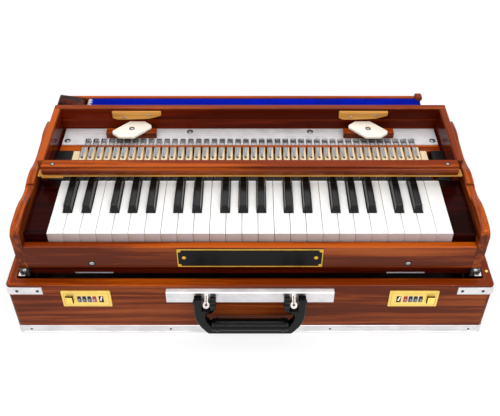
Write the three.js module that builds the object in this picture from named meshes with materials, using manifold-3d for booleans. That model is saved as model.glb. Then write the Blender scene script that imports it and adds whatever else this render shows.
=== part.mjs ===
// Indian harmonium of the folding suitcase kind, raised out of its case tray for playing.
// Lengths are in millimetres. X runs along the keyboard, Y from the player to the back, Z up.
// Depths count from the front face of the case and heights from its underside. The last lines
// move the whole instrument so that its origin is the centre of the case's underside.

import * as THREE from 'three';
import { mergeVertices } from 'three/addons/utils/BufferGeometryUtils.js';
import { ConvexGeometry } from 'three/addons/geometries/ConvexGeometry.js';
import Module from 'manifold-3d';

const wasm = await Module();
wasm.setup();

// Clearances that pieces share
const gap = 0.3;
const overlap = 0.8;
const overrun = 1;
const roundSides = 12;

// Case tray, with its lock plates, handle plate and handle
const tray = {
  height: 95,
  frontWall: 13.7,
  sideWall: 12,
  floor: 6,
  cornerRadius: 6,
  innerCornerRadius: 3,
  cornerSteps: 4,
};
const lock = {
  width: 64,
  height: 31.5,
  thickness: 2.5,
  centreFromEnd: 102,
  centreDrop: 23.7,
  wheelRadius: 5,
  wheelWidth: 4.6,
  wheelPitch: 7,
  wheelProud: 1.1,
  wheelCount: 4,
  wheelsFromCentre: 3,
  catchWidth: 4,
  catchHeight: 14,
  catchFromCentre: 21,
  slideWidth: 10,
  slideHeight: 13,
  slideThickness: 3.2,
  slideFromCentre: 22,
  slideRaise: 0.8,
};
const handlePlate = {
  width: 217,
  height: 19.3,
  thickness: 7,
  topDrop: 4.6,
  bracketWidth: 7.6,
  bracketHeight: 16,
  pinRadius: 2.5,
  pinLength: 8.5,
};
const handle = {
  width: 144,
  armWidth: 18.5,
  armThickness: 12,
  notchWidth: 8.2,
  notchDrop: 13,
  standOff: 16.2,
  pivotDrop: 13,
  gripDrop: 61.5,
  gripRadius: 10,
  cornerRadius: 16,
  innerCornerRadius: 7,
  endRadius: 6,
  cornerSteps: 4,
};

// Scissor frames that carry the instrument
const lift = {
  barLength: 220,
  barThickness: 3,
  endRadius: 5,
  wallClearance: 2,
  barClearance: 0.7,
  pinRadius: 3,
  pivotInset: 6.3,
  spreaderRadius: 4.5,
  rearSpreaderRadius: 4,
  rollerLength: 10.8,
  endSteps: 6,
};

// Carcass of the instrument
const carcass = {
  sideClearance: 5,
  frontClearance: 4.9,
  backClearance: 4.3,
  raised: 14.2,
  board: 10.5,
  floorDrop: 12.2,
  floorBoard: 8,
  backBoard: 9.5,
};
const slip = { height: 37.1, thickness: 10.8 };
const apron = { inset: 6.4, thickness: 8, drop: 17.7, rise: 20.8 };
const keyBlock = { width: 28.25, sideGap: 1, frontInset: 0.4, height: 29, top: 12.2, backLength: 75.8 };
const bracket = { thickness: 3, length: 30.5, frontInset: 0.8, height: 11.7 };
const balanceRail = { depth: 14, roof: 4, ledge: 8 };
const bearer = { depth: 12 };
const cheek = { thickness: 12.2, height: 67.3, steps: 48 };
// Top edge of a cheek, front to back: [share of the carcass depth, share of the cheek height].
const cheekTopShares = [
  [0.0, 0.87],
  [0.02, 0.943],
  [0.055, 0.978],
  [0.11, 0.995],
  [0.165, 1.0],
  [0.216, 0.98],
  [0.25, 0.95],
  [0.29, 0.915],
  [0.34, 0.905],
  [0.37, 0.915],
  [0.397, 0.953],
  [0.44, 0.968],
  [0.487, 0.965],
  [0.545, 0.912],
  [0.6, 0.883],
  [0.66, 0.882],
  [0.72, 0.898],
  [0.775, 0.912],
  [0.815, 0.95],
  [0.86, 0.956],
  [0.91, 0.938],
  [0.96, 0.89],
  [1.0, 0.66],
];

// Keyboard of three and a half octaves, from C up to F
const keyboard = {
  whiteCount: 25,
  keyCount: 42,
  whitePitch: 20.5,
  whiteGap: 0.7,
  frontClearance: 1.2,
  visibleHeight: 12.9,
  hiddenHeight: 2.1,
  whiteLength: 101.9,
  notchFromFront: 37.7,
  sharpWidth: 11.5,
  sharpTopWidth: 8.5,
  sharpRise: 10.3,
  sharpFrontSlope: 4.4,
  sharpGap: 0.8,
  leverThickness: 11,
  tailWidth: 8.2,
  tailMargin: 12.65,
  leverRunIn: 9,
  leverTaper: 20,
  pivotFromFront: 119.4,
  tailLength: 61.5,
  palletWidth: 9.4,
  palletLength: 18,
  palletHeight: 4.9,
  palletInset: 1.5,
};
const noteNames = [
  'c', 'c_sharp', 'd', 'd_sharp', 'e', 'f', 'f_sharp', 'g', 'g_sharp', 'a', 'a_sharp', 'b',
];
const firstOctave = 3;
// How far each raised key stands right of the line between its white keys, in white pitches.
const sharpShiftShares = { c_sharp: -0.05, d_sharp: 0.146, f_sharp: -0.073, g_sharp: 0.073, a_sharp: 0.22 };

// Reed chamber behind the keys
const chamber = {
  wall: 10.5,
  railFront: 105.4,
  railDepth: 13.8,
  railHeight: 19,
  railBulge: 2.6,
  railSteps: 6,
  railEndInset: 9,
  height: 44.9,
};
const reedBoard = { thickness: 14 };
const springBlock = { height: 15.5, depth: 42.7, sideInset: 1.7, tailGap: 1.5, endReach: 10 };
const springPlate = { thickness: 1.5, frontInset: 3.7, sideInset: 1 };
const endPiece = { width: 9, sideGap: 1.1 };
// Wire springs on the plate's front edge, one to each key tail
const keySpring = {
  pitch: 11.4,
  wireRadius: 0.55,
  coilRadius: 2.7,
  turns: 4,
  stepsPerTurn: 7,
  sides: 4,
  turnPitch: 1.85,
  coilFromEdge: 4.8,
  coilRaise: 0.4,
  anchorLength: 7,
  hookFromTailEnd: 22.5,
  hookShift: 0.8,
  legClearance: 1,
};
const keyTravelDegrees = 3.4;
const turnButton = {
  // Half of the outline of the right button, from its middle; the other half lies opposite.
  corners: [
    [5, 19],
    [-17, 18.7],
    [-27.3, 9.5],
    [-27.9, 4.5],
  ],
  thickness: 4.7,
  fromMiddle: 171,
  fromBack: 21,
};
const buttonBlock = { width: 73, depth: 12.5, height: 10, fromMiddle: 172.5, fromBack: 12.5 };
const batten = { width: 71.5, bottomWidth: 48, height: 14, thickness: 4, topDrop: 3.5, fromMiddle: 165 };

// Bellows behind the chamber, hinged at the right
const bellows = {
  thickness: 28.5,
  left: 242,
  right: 254,
  top: 10,
  bottomRise: 3,
  foldDepth: 7,
  folds: 5,
};
const bellowsBoard = {
  thickness: 8,
  left: 285,
  right: 257,
  bottomRise: 1,
  topDrop: 8,
  gripWidth: 39.7,
  gripDepth: 27,
  gripHeight: 58,
  gripProud: 4.5,
  gripFlutes: 5,
  scrollWidth: 11,
  scrollDepth: 12,
  scrollProud: 5.5,
  scrollSeat: 1.5,
};

// Places worked out from the sizes
const keyboardHalf = (keyboard.whiteCount * keyboard.whitePitch) / 2;
const tailPitch = (2 * (keyboardHalf - keyboard.tailMargin)) / keyboard.keyCount;
const carcassHalf = keyboardHalf + keyBlock.sideGap + keyBlock.width;
const cheekOuter = carcassHalf + gap + cheek.thickness;
const trayInnerHalf = cheekOuter + carcass.sideClearance;
const trayHalf = trayInnerHalf + tray.sideWall;
const slipFront = tray.frontWall + carcass.frontClearance;
const cheekBottom = tray.height + carcass.raised;
const slipTop = cheekBottom + slip.height;
const apronFront = slipFront + apron.inset;
const floorBottom = cheekBottom - carcass.floorDrop;
const keyFront = slipFront + slip.thickness + keyboard.frontClearance;
const keyBottom = slipTop - keyboard.hiddenHeight;
const keyTop = slipTop + keyboard.visibleHeight;
const leverTop = keyBottom + keyboard.leverThickness;
const keyPivot = keyFront + keyboard.pivotFromFront;
const tailEnd = keyPivot + keyboard.tailLength;
const whiteBack = keyFront + keyboard.whiteLength;
const springBlockFront = tailEnd + springBlock.tailGap;
const springBlockBack = springBlockFront + springBlock.depth;
const innerBack = springBlockBack + gap;
const carcassBack = innerBack + carcass.backBoard;
const boardFront = carcassBack + bellows.thickness;
const boardBack = boardFront + bellowsBoard.thickness;
const trayDepth = boardBack + carcass.backClearance + tray.frontWall;
const chamberTop = slipTop + gap + chamber.height;
const railFront = slipFront + chamber.railFront;
const reedBoardTop = keyBottom - keyboard.palletHeight - gap;
const springPlateTop = reedBoardTop + springBlock.height + springPlate.thickness;
const pivotY = tray.frontWall + lift.pivotInset;
const lowPivotZ = tray.floor + gap + lift.endRadius;
const highPivotZ = cheekBottom - gap - lift.endRadius;
const raisedAngle = Math.asin((highPivotZ - lowPivotZ) / lift.barLength);
const outerBarFace = trayInnerHalf - lift.wallClearance - lift.barThickness;
const innerBarFace = outerBarFace - lift.barClearance - lift.barThickness;
const plateTop = tray.height - handlePlate.topDrop;
const lockCentre = tray.height - lock.centreDrop;
const handlePivotZ = tray.height - handle.pivotDrop;
const handleGripZ = tray.height - handle.gripDrop;
const handleNotch = handle.width / 2 - handle.armWidth + handle.notchWidth;

// Finishes
const mahogany = { color: 0x84442a, roughness: 0.35, metalness: 0 };
const darkMahogany = { color: 0x4c1e12, roughness: 0.4, metalness: 0 };
const ivory = { color: 0xf2f0ec, roughness: 0.25, metalness: 0 };
const ebony = { color: 0x17181a, roughness: 0.25, metalness: 0 };
const blackPlastic = { color: 0x202022, roughness: 0.5, metalness: 0 };
const aluminium = { color: 0xc4c6c8, roughness: 0.35, metalness: 1 };
const brass = { color: 0xd8b566, roughness: 0.35, metalness: 1 };
const steel = { color: 0x9a9b9d, roughness: 0.4, metalness: 1 };
const blueCloth = { color: 0x1530a8, roughness: 0.85, metalness: 0 };

const harmonium = new THREE.Group();

function addPiece(name, geometry, finish) {
  const mesh = new THREE.Mesh(geometry, new THREE.MeshStandardMaterial(finish));
  mesh.name = name;
  harmonium.add(mesh);
}

// Joining and cutting of closed shapes
function solidOf(geometry) {
  const bare = geometry.clone();
  bare.deleteAttribute('normal');
  bare.deleteAttribute('uv');
  const merged = mergeVertices(bare);
  const mesh = new wasm.Mesh({
    numProp: 3,
    vertProperties: new Float32Array(merged.attributes.position.array),
    triVerts: new Uint32Array(merged.index.array),
  });
  return new wasm.Manifold(mesh);
}

function geometryOf(solid) {
  const mesh = solid.getMesh();
  const geometry = new THREE.BufferGeometry();
  geometry.setAttribute('position', new THREE.BufferAttribute(mesh.vertProperties, 3));
  geometry.setIndex(new THREE.BufferAttribute(mesh.triVerts, 1));
  return geometry;
}

function joined(shapes) {
  let solid = solidOf(shapes[0]);
  for (const shape of shapes.slice(1)) {
    solid = solid.add(solidOf(shape));
  }
  return geometryOf(solid);
}

function cutBy(shape, tools) {
  let solid = solidOf(shape);
  for (const tool of tools) {
    solid = solid.subtract(solidOf(tool));
  }
  return geometryOf(solid);
}

// Basic shapes, given by their limits
function block(x0, x1, y0, y1, z0, z1) {
  const box = new THREE.BoxGeometry(x1 - x0, y1 - y0, z1 - z0);
  return box.translate((x0 + x1) / 2, (y0 + y1) / 2, (z0 + z1) / 2);
}

function withoutRepeats(points) {
  return points.filter((point, i) => {
    const before = points[(i + points.length - 1) % points.length];
    return point[0] !== before[0] || point[1] !== before[1];
  });
}

function shapeOf(points, holes = []) {
  const shape = new THREE.Shape(withoutRepeats(points).map(([u, v]) => new THREE.Vector2(u, v)));
  shape.holes = holes.map((hole) => new THREE.Path(hole.map(([u, v]) => new THREE.Vector2(u, v))));
  return shape;
}

// An outline in plan, [x, y], raised from z0 to z1
function raisedUp(points, z0, z1) {
  const depth = z1 - z0;
  return new THREE.ExtrudeGeometry(shapeOf(points), { depth, bevelEnabled: false }).translate(0, 0, z0);
}

// An outline seen from the side, [y, z], drawn out from x0 to x1
function drawnAlong(points, x0, x1, holes = []) {
  const depth = x1 - x0;
  const sideways = new THREE.ExtrudeGeometry(shapeOf(points, holes), { depth, bevelEnabled: false });
  const turn = new THREE.Matrix4().makeBasis(
    new THREE.Vector3(0, 1, 0),
    new THREE.Vector3(0, 0, 1),
    new THREE.Vector3(1, 0, 0),
  );
  return sideways.applyMatrix4(turn).translate(x0, 0, 0);
}

function circle(y, z, radius) {
  const points = [];
  for (let i = 0; i < roundSides; i += 1) {
    const angle = (2 * Math.PI * i) / roundSides;
    points.push([y + radius * Math.cos(angle), z + radius * Math.sin(angle)]);
  }
  return points;
}

function rod(y, z, radius, x0, x1) {
  return drawnAlong(circle(y, z, radius), x0, x1);
}

// Corner arc in plan or side view, from one angle to another
function arc(u, v, radius, from, to, steps) {
  const points = [];
  for (let i = 0; i <= steps; i += 1) {
    const angle = from + ((to - from) * i) / steps;
    points.push([u + radius * Math.cos(angle), v + radius * Math.sin(angle)]);
  }
  return points;
}

function roundedOutline(u0, u1, v0, v1, radius, steps) {
  const quarter = Math.PI / 2;
  return [
    ...arc(u1 - radius, v1 - radius, radius, 0, quarter, steps),
    ...arc(u0 + radius, v1 - radius, radius, quarter, 2 * quarter, steps),
    ...arc(u0 + radius, v0 + radius, radius, 2 * quarter, 3 * quarter, steps),
    ...arc(u1 - radius, v0 + radius, radius, 3 * quarter, 4 * quarter, steps),
  ];
}

// Case tray: a wooden box without a lid, with the two pins that the outer lift frame turns on
function caseTray() {
  const outer = roundedOutline(-trayHalf, trayHalf, 0, trayDepth, tray.cornerRadius, tray.cornerSteps);
  const well = roundedOutline(
    -trayInnerHalf,
    trayInnerHalf,
    tray.frontWall,
    trayDepth - tray.frontWall,
    tray.innerCornerRadius,
    tray.cornerSteps,
  );
  const shell = cutBy(raisedUp(outer, 0, tray.height), [raisedUp(well, tray.floor, tray.height + overrun)]);
  const pinEnd = outerBarFace + overlap + gap;
  const rightPin = rod(pivotY, lowPivotZ, lift.pinRadius, pinEnd, trayInnerHalf + overlap);
  const leftPin = rod(pivotY, lowPivotZ, lift.pinRadius, -trayInnerHalf - overlap, -pinEnd);
  addPiece('case_tray', joined([shell, rightPin, leftPin]), mahogany);
}

// Combination lock: side is -1 at the left and 1 at the right, where it is the mirror image
function combinationLock(name, side) {
  const centre = side * (trayHalf - lock.centreFromEnd);
  const low = lockCentre - lock.height / 2;
  const face = -gap - lock.thickness;
  const plate = block(
    centre - lock.width / 2,
    centre + lock.width / 2,
    face,
    -gap,
    low,
    low + lock.height,
  );
  const shapes = [plate];
  const wheelY = face - lock.wheelProud + lock.wheelRadius;
  for (let i = 0; i < lock.wheelCount; i += 1) {
    const fromCentre = lock.wheelsFromCentre + (i - (lock.wheelCount - 1) / 2) * lock.wheelPitch;
    const x = centre - side * fromCentre;
    const wheel = rod(
      wheelY,
      lockCentre,
      lock.wheelRadius,
      x - lock.wheelWidth / 2,
      x + lock.wheelWidth / 2,
    );
    const behind = block(
      x - lock.wheelWidth,
      x + lock.wheelWidth,
      -gap,
      wheelY + lock.wheelRadius + overrun,
      low,
      low + lock.height,
    );
    shapes.push(cutBy(wheel, [behind]));
  }
  const catchX = centre - side * lock.catchFromCentre;
  shapes.push(
    block(
      catchX - lock.catchWidth / 2,
      catchX + lock.catchWidth / 2,
      face - lock.wheelProud,
      -gap - lock.thickness / 2,
      lockCentre - lock.catchHeight / 2,
      lockCentre + lock.catchHeight / 2,
    ),
  );
  addPiece(`lock_${name}`, joined(shapes), brass);

  const slideX = centre + side * lock.slideFromCentre;
  const slideBack = face - gap;
  const slideLow = lockCentre + lock.slideRaise - lock.slideHeight / 2;
  addPiece(
    `lock_slide_${name}`,
    block(
      slideX - lock.slideWidth / 2,
      slideX + lock.slideWidth / 2,
      slideBack - lock.slideThickness,
      slideBack,
      slideLow,
      slideLow + lock.slideHeight,
    ),
    brass,
  );
}

// Aluminium strip with the two brackets and pins that hold the carrying handle
function carryHandlePlate() {
  const bracketOuter = handleNotch - gap;
  const bracketInner = bracketOuter - handlePlate.bracketWidth;
  const bracketFront = -handle.standOff - handle.armThickness / 2;
  const bracketLow = handlePivotZ - handlePlate.bracketHeight / 2;
  const stripFront = -gap - handlePlate.thickness;
  const shapes = [
    block(
      -handlePlate.width / 2,
      handlePlate.width / 2,
      stripFront,
      -gap,
      plateTop - handlePlate.height,
      plateTop,
    ),
  ];
  for (const side of [-1, 1]) {
    const near = side * bracketInner;
    const far = side * bracketOuter;
    const tip = side * (bracketOuter + handlePlate.pinLength);
    const seat = stripFront + overlap;
    const top = bracketLow + handlePlate.bracketHeight;
    shapes.push(block(Math.min(near, far), Math.max(near, far), bracketFront, seat, bracketLow, top));
    const start = side * (bracketOuter - overlap);
    const pinFrom = Math.min(start, tip);
    const pinTo = Math.max(start, tip);
    shapes.push(rod(-handle.standOff, handlePivotZ, handlePlate.pinRadius, pinFrom, pinTo));
  }
  addPiece('handle_plate', joined(shapes), aluminium);
}

// Carrying handle: a moulded loop with a thick round grip, hanging from its two pins
function carryHandle() {
  const half = handle.width / 2;
  const inner = half - handle.armWidth;
  const low = handleGripZ - handle.armWidth / 2;
  const high = handlePivotZ + handle.endRadius;
  const quarter = Math.PI / 2;
  const notchFloor = handlePivotZ - handle.notchDrop;
  const loop = [
    [half, high],
    [handleNotch, high],
    [handleNotch, notchFloor],
    [inner, notchFloor],
    ...arc(
      inner - handle.innerCornerRadius,
      low + handle.armWidth + handle.innerCornerRadius,
      handle.innerCornerRadius,
      0,
      -quarter,
      handle.cornerSteps,
    ),
    ...arc(
      -inner + handle.innerCornerRadius,
      low + handle.armWidth + handle.innerCornerRadius,
      handle.innerCornerRadius,
      -quarter,
      -2 * quarter,
      handle.cornerSteps,
    ),
    [-inner, notchFloor],
    [-handleNotch, notchFloor],
    [-handleNotch, high],
    [-half, high],
    ...arc(
      -half + handle.cornerRadius,
      low + handle.cornerRadius,
      handle.cornerRadius,
      2 * quarter,
      3 * quarter,
      handle.cornerSteps,
    ),
    ...arc(
      half - handle.cornerRadius,
      low + handle.cornerRadius,
      handle.cornerRadius,
      3 * quarter,
      4 * quarter,
      handle.cornerSteps,
    ),
  ];
  const back = -handle.standOff + handle.armThickness / 2;
  const upright = new THREE.ExtrudeGeometry(shapeOf(loop), {
    depth: handle.armThickness,
    bevelEnabled: false,
  });
  upright.rotateX(quarter).translate(0, back, 0);
  const grip = rod(-handle.standOff, handleGripZ, handle.gripRadius, -inner, inner);
  const bore = handlePlate.pinRadius + gap;
  const boreStart = handleNotch - overrun;
  const boreEnd = handleNotch + handlePlate.pinLength;
  addPiece(
    'carry_handle',
    cutBy(joined([upright, grip]), [
      rod(-handle.standOff, handlePivotZ, bore, boreStart, boreEnd),
      rod(-handle.standOff, handlePivotZ, bore, -boreEnd, -boreStart),
    ]),
    blackPlastic,
  );
}

// A flat lift bar with round ends, from [y, z] towards the rear at an angle above the level
function liftBar(y, z, angle, holeShares, x0, x1) {
  const along = new THREE.Vector2(Math.cos(angle), Math.sin(angle));
  const endY = y + lift.barLength * along.x;
  const endZ = z + lift.barLength * along.y;
  const quarter = Math.PI / 2;
  const outline = [
    ...arc(endY, endZ, lift.endRadius, angle - quarter, angle + quarter, lift.endSteps),
    ...arc(y, z, lift.endRadius, angle + quarter, angle + 3 * quarter, lift.endSteps),
  ];
  const holes = holeShares.map((share) =>
    circle(y + (endY - y) * share, z + (endZ - z) * share, lift.pinRadius + gap),
  );
  return drawnAlong(outline, x0, x1, holes);
}

// Outer lift frame: pinned to the tray at the low front, its rollers carry the cheeks at the rear
function outerLiftFrame() {
  const far = outerBarFace + lift.barThickness;
  const inside = outerBarFace + overlap;
  const rearY = pivotY + lift.barLength * Math.cos(raisedAngle);
  const middleY = (pivotY + rearY) / 2;
  const middleZ = (lowPivotZ + highPivotZ) / 2;
  const pinTip = innerBarFace - gap;
  const rollerTip = outerBarFace - lift.rollerLength;
  addPiece(
    'lift_frame_outer',
    joined([
      liftBar(pivotY, lowPivotZ, raisedAngle, [0], outerBarFace, far),
      liftBar(pivotY, lowPivotZ, raisedAngle, [0], -far, -outerBarFace),
      rod(pivotY, lowPivotZ, lift.spreaderRadius, -inside, inside),
      rod(middleY, middleZ, lift.pinRadius, pinTip, inside),
      rod(middleY, middleZ, lift.pinRadius, -inside, -pinTip),
      rod(rearY, highPivotZ, lift.endRadius, rollerTip, inside),
      rod(rearY, highPivotZ, lift.endRadius, -inside, -rollerTip),
    ]),
    steel,
  );
}

// Inner lift frame: pinned to the instrument at the high front, it slides on the tray floor
function innerLiftFrame() {
  const far = innerBarFace + lift.barThickness;
  const inside = innerBarFace + overlap;
  const rearY = pivotY + lift.barLength * Math.cos(raisedAngle);
  const pinShares = [0.5, 0];
  addPiece(
    'lift_frame_inner',
    joined([
      liftBar(pivotY, highPivotZ, -raisedAngle, pinShares, innerBarFace, far),
      liftBar(pivotY, highPivotZ, -raisedAngle, pinShares, -far, -innerBarFace),
      rod(rearY, lowPivotZ, lift.rearSpreaderRadius, -inside, inside),
    ]),
    steel,
  );
}

// Key bed: floor, apron, slip, sides and back of the lower carcass, with the rail that the keys
// rock on, the blocks beside the keyboard and the pins that the inner lift frame holds
function keyBed() {
  const half = carcassHalf;
  const sideInner = half - carcass.board;
  const railFace = keyPivot - balanceRail.depth / 2;
  const railBack = keyPivot + balanceRail.depth / 2;
  const crest = keyBottom - gap;
  const bearerTop = reedBoardTop - reedBoard.thickness - gap;
  const blockTop = slipTop + keyBlock.top;
  const shapes = [
    block(-half, half, apronFront, carcassBack, floorBottom, floorBottom + carcass.floorBoard),
    block(
      -half,
      half,
      apronFront,
      apronFront + apron.thickness,
      cheekBottom - apron.drop,
      cheekBottom + apron.rise,
    ),
    block(-half, half, slipFront, slipFront + slip.thickness, cheekBottom, slipTop),
    block(-half, half, carcassBack - carcass.backBoard, carcassBack, floorBottom, slipTop),
    drawnAlong(
      [
        [railFace, floorBottom + carcass.floorBoard - overlap],
        [railBack + balanceRail.ledge, floorBottom + carcass.floorBoard - overlap],
        [railBack + balanceRail.ledge, bearerTop],
        [railBack, bearerTop],
        [railBack, crest - balanceRail.roof],
        [keyPivot, crest],
        [railFace, crest - balanceRail.roof],
      ],
      -sideInner - overlap,
      sideInner + overlap,
    ),
    block(
      -sideInner - overlap,
      sideInner + overlap,
      innerBack - bearer.depth,
      innerBack + overlap,
      floorBottom + carcass.floorBoard - overlap,
      bearerTop,
    ),
  ];
  for (const side of [-1, 1]) {
    const across = (a, b) => [Math.min(side * a, side * b), Math.max(side * a, side * b)];
    shapes.push(block(...across(sideInner, half), apronFront, carcassBack, floorBottom, slipTop));
    shapes.push(
      block(
        ...across(keyboardHalf + keyBlock.sideGap, half),
        keyFront + keyBlock.frontInset,
        railFront - gap,
        blockTop - keyBlock.height,
        blockTop,
      ),
    );
    shapes.push(
      block(
        ...across(keyboardHalf + keyBlock.sideGap, half - chamber.wall - gap),
        railFront - gap - overlap,
        railFront + keyBlock.backLength,
        reedBoardTop + gap,
        blockTop,
      ),
    );
    const plateFace = half + bracket.thickness;
    shapes.push(
      block(
        ...across(half - overlap, plateFace),
        tray.frontWall + bracket.frontInset,
        tray.frontWall + bracket.frontInset + bracket.length,
        cheekBottom - gap - bracket.height,
        cheekBottom - gap,
      ),
    );
    const pin = across(plateFace - overlap, innerBarFace + lift.barThickness + gap);
    shapes.push(rod(pivotY, highPivotZ, lift.pinRadius, ...pin));
  }
  addPiece('key_bed', joined(shapes), darkMahogany);
}

// Cheek: the carved board at each end of the carcass
function cheekBoard(name, side) {
  const depth = carcassBack - slipFront;
  const edge = new THREE.SplineCurve(
    cheekTopShares.map(
      ([depthShare, heightShare]) =>
        new THREE.Vector2(slipFront + depth * depthShare, cheekBottom + cheek.height * heightShare),
    ),
  );
  const top = edge.getPoints(cheek.steps).map((point) => [point.x, point.y]);
  const outline = [...top, [carcassBack, cheekBottom], [slipFront, cheekBottom]];
  const inner = side * (carcassHalf + gap);
  const outer = side * cheekOuter;
  addPiece(`cheek_${name}`, drawnAlong(outline, Math.min(inner, outer), Math.max(inner, outer)), mahogany);
}

// Middle of a key tail across the keyboard
function tailCentre(i) {
  return (i - (keyboard.keyCount - 1) / 2) * tailPitch;
}

// Places of all keys, left to right, each with its front limits, narrow limits and tail centre
function keyPlaces() {
  const places = [];
  let whites = 0;
  for (let i = 0; i < keyboard.keyCount; i += 1) {
    const note = noteNames[i % noteNames.length];
    const octave = firstOctave + Math.floor(i / noteNames.length);
    const line = -keyboardHalf + whites * keyboard.whitePitch;
    const raised = note in sharpShiftShares;
    const place = { name: `key_${note}_${octave}`, raised, tail: tailCentre(i) };
    if (raised) {
      const centre = line + sharpShiftShares[note] * keyboard.whitePitch;
      place.left = centre - keyboard.sharpWidth / 2;
      place.right = centre + keyboard.sharpWidth / 2;
    } else {
      place.left = line + keyboard.whiteGap / 2;
      place.right = line + keyboard.whitePitch - keyboard.whiteGap / 2;
      whites += 1;
    }
    places.push(place);
  }
  places.forEach((place, i) => {
    const before = places[i - 1];
    const after = places[i + 1];
    place.narrowLeft = before?.raised ? before.right + keyboard.sharpGap : place.left;
    place.narrowRight = after?.raised ? after.left - keyboard.sharpGap : place.right;
  });
  return places;
}

// Lever of a key, behind its visible part, with the pallet block under its tail
function keyLever(place, front, left, right) {
  const tailLeft = place.tail - keyboard.tailWidth / 2;
  const tailRight = place.tail + keyboard.tailWidth / 2;
  const taperEnd = whiteBack + keyboard.leverTaper;
  const outline = [
    [left, front],
    [right, front],
    [right, whiteBack],
    [tailRight, taperEnd],
    [tailRight, tailEnd],
    [tailLeft, tailEnd],
    [tailLeft, taperEnd],
    [left, whiteBack],
  ];
  const palletBack = tailEnd - keyboard.palletInset;
  return [
    raisedUp(outline, keyBottom, leverTop),
    block(
      place.tail - keyboard.palletWidth / 2,
      place.tail + keyboard.palletWidth / 2,
      palletBack - keyboard.palletLength,
      palletBack,
      reedBoardTop + gap,
      keyBottom + overlap,
    ),
  ];
}

function whiteKey(place) {
  const notch = keyFront + keyboard.notchFromFront;
  const outline = [
    [place.left, keyFront],
    [place.right, keyFront],
    [place.right, notch],
    [place.narrowRight, notch],
    [place.narrowRight, whiteBack],
    [place.narrowLeft, whiteBack],
    [place.narrowLeft, notch],
    [place.left, notch],
  ];
  const lever = keyLever(place, notch - keyboard.leverRunIn, place.narrowLeft, place.narrowRight);
  addPiece(place.name, joined([raisedUp(outline, keyBottom, keyTop), ...lever]), ivory);
}

function raisedKey(place) {
  const front = keyFront + keyboard.notchFromFront + keyboard.sharpGap;
  const inset = (keyboard.sharpWidth - keyboard.sharpTopWidth) / 2;
  const top = keyTop + keyboard.sharpRise;
  const corners = [];
  for (const [z, x0, x1, y0] of [
    [keyBottom, place.left, place.right, front],
    [keyTop, place.left, place.right, front],
    [top, place.left + inset, place.right - inset, front + keyboard.sharpFrontSlope],
  ]) {
    for (const x of [x0, x1]) {
      for (const y of [y0, whiteBack]) {
        corners.push(new THREE.Vector3(x, y, z));
      }
    }
  }
  const lever = keyLever(place, whiteBack - keyboard.leverRunIn, place.left, place.right);
  addPiece(place.name, joined([new ConvexGeometry(corners), ...lever]), ebony);
}

// Chamber frame: fall rail over the keys, side walls and back wall of the reed chamber, with the
// battens on its back wall
function chamberFrame() {
  const half = carcassHalf;
  const low = slipTop + gap;
  const railBottom = chamberTop - chamber.railHeight;
  const moulding = [];
  for (let i = 0; i <= chamber.railSteps; i += 1) {
    const rise = i / chamber.railSteps;
    moulding.push([
      railFront - chamber.railBulge * Math.sin(Math.PI * rise),
      chamberTop - chamber.railHeight * rise,
    ]);
  }
  const railBack = railFront + chamber.railDepth;
  const rail = [...moulding, [railBack, railBottom], [railBack, chamberTop]];
  const shapes = [
    drawnAlong(rail, -half + chamber.railEndInset, half - chamber.railEndInset),
    block(-half, half, innerBack, carcassBack, low, chamberTop),
  ];
  const battenTop = chamberTop - batten.topDrop;
  for (const side of [-1, 1]) {
    const across = (a, b) => [Math.min(side * a, side * b), Math.max(side * a, side * b)];
    shapes.push(block(...across(half - chamber.wall, half), railFront, carcassBack, low, chamberTop));
    const centre = side * batten.fromMiddle;
    const battenOutline = [
      [centre - batten.bottomWidth / 2, battenTop - batten.height],
      [centre + batten.bottomWidth / 2, battenTop - batten.height],
      [centre + batten.width / 2, battenTop],
      [centre - batten.width / 2, battenTop],
    ];
    const upright = new THREE.ExtrudeGeometry(shapeOf(battenOutline), {
      depth: batten.thickness + overlap,
      bevelEnabled: false,
    });
    shapes.push(upright.rotateX(Math.PI / 2).translate(0, innerBack + overlap, 0));
  }
  addPiece('chamber_frame', joined(shapes), mahogany);
}

// Tube along points, [x, y, z], as one closed skin; its rings stay square to the way
function wireTube(points, radius, sides) {
  const positions = [];
  const indices = [];
  const sideways = new THREE.Vector3(1, 0, 0);
  points.forEach((point, i) => {
    const before = points[Math.max(i - 1, 0)];
    const after = points[Math.min(i + 1, points.length - 1)];
    const way = after.clone().sub(before).normalize();
    const across = sideways.clone().addScaledVector(way, -sideways.dot(way)).normalize();
    const up = way.clone().cross(across);
    for (let k = 0; k < sides; k += 1) {
      const angle = (2 * Math.PI * k) / sides;
      const spoke = across.clone().multiplyScalar(Math.cos(angle)).addScaledVector(up, Math.sin(angle));
      positions.push(...point.clone().addScaledVector(spoke, radius).toArray());
    }
  });
  for (let i = 0; i < points.length - 1; i += 1) {
    for (let k = 0; k < sides; k += 1) {
      const a = i * sides + k;
      const b = i * sides + ((k + 1) % sides);
      indices.push(a, b, b + sides, a, b + sides, a + sides);
    }
  }
  const last = (points.length - 1) * sides;
  for (let k = 1; k < sides - 1; k += 1) {
    indices.push(0, k + 1, k, last, last + k, last + k + 1);
  }
  const tube = new THREE.BufferGeometry();
  tube.setAttribute('position', new THREE.Float32BufferAttribute(positions, 3));
  tube.setIndex(indices);
  return tube;
}

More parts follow.
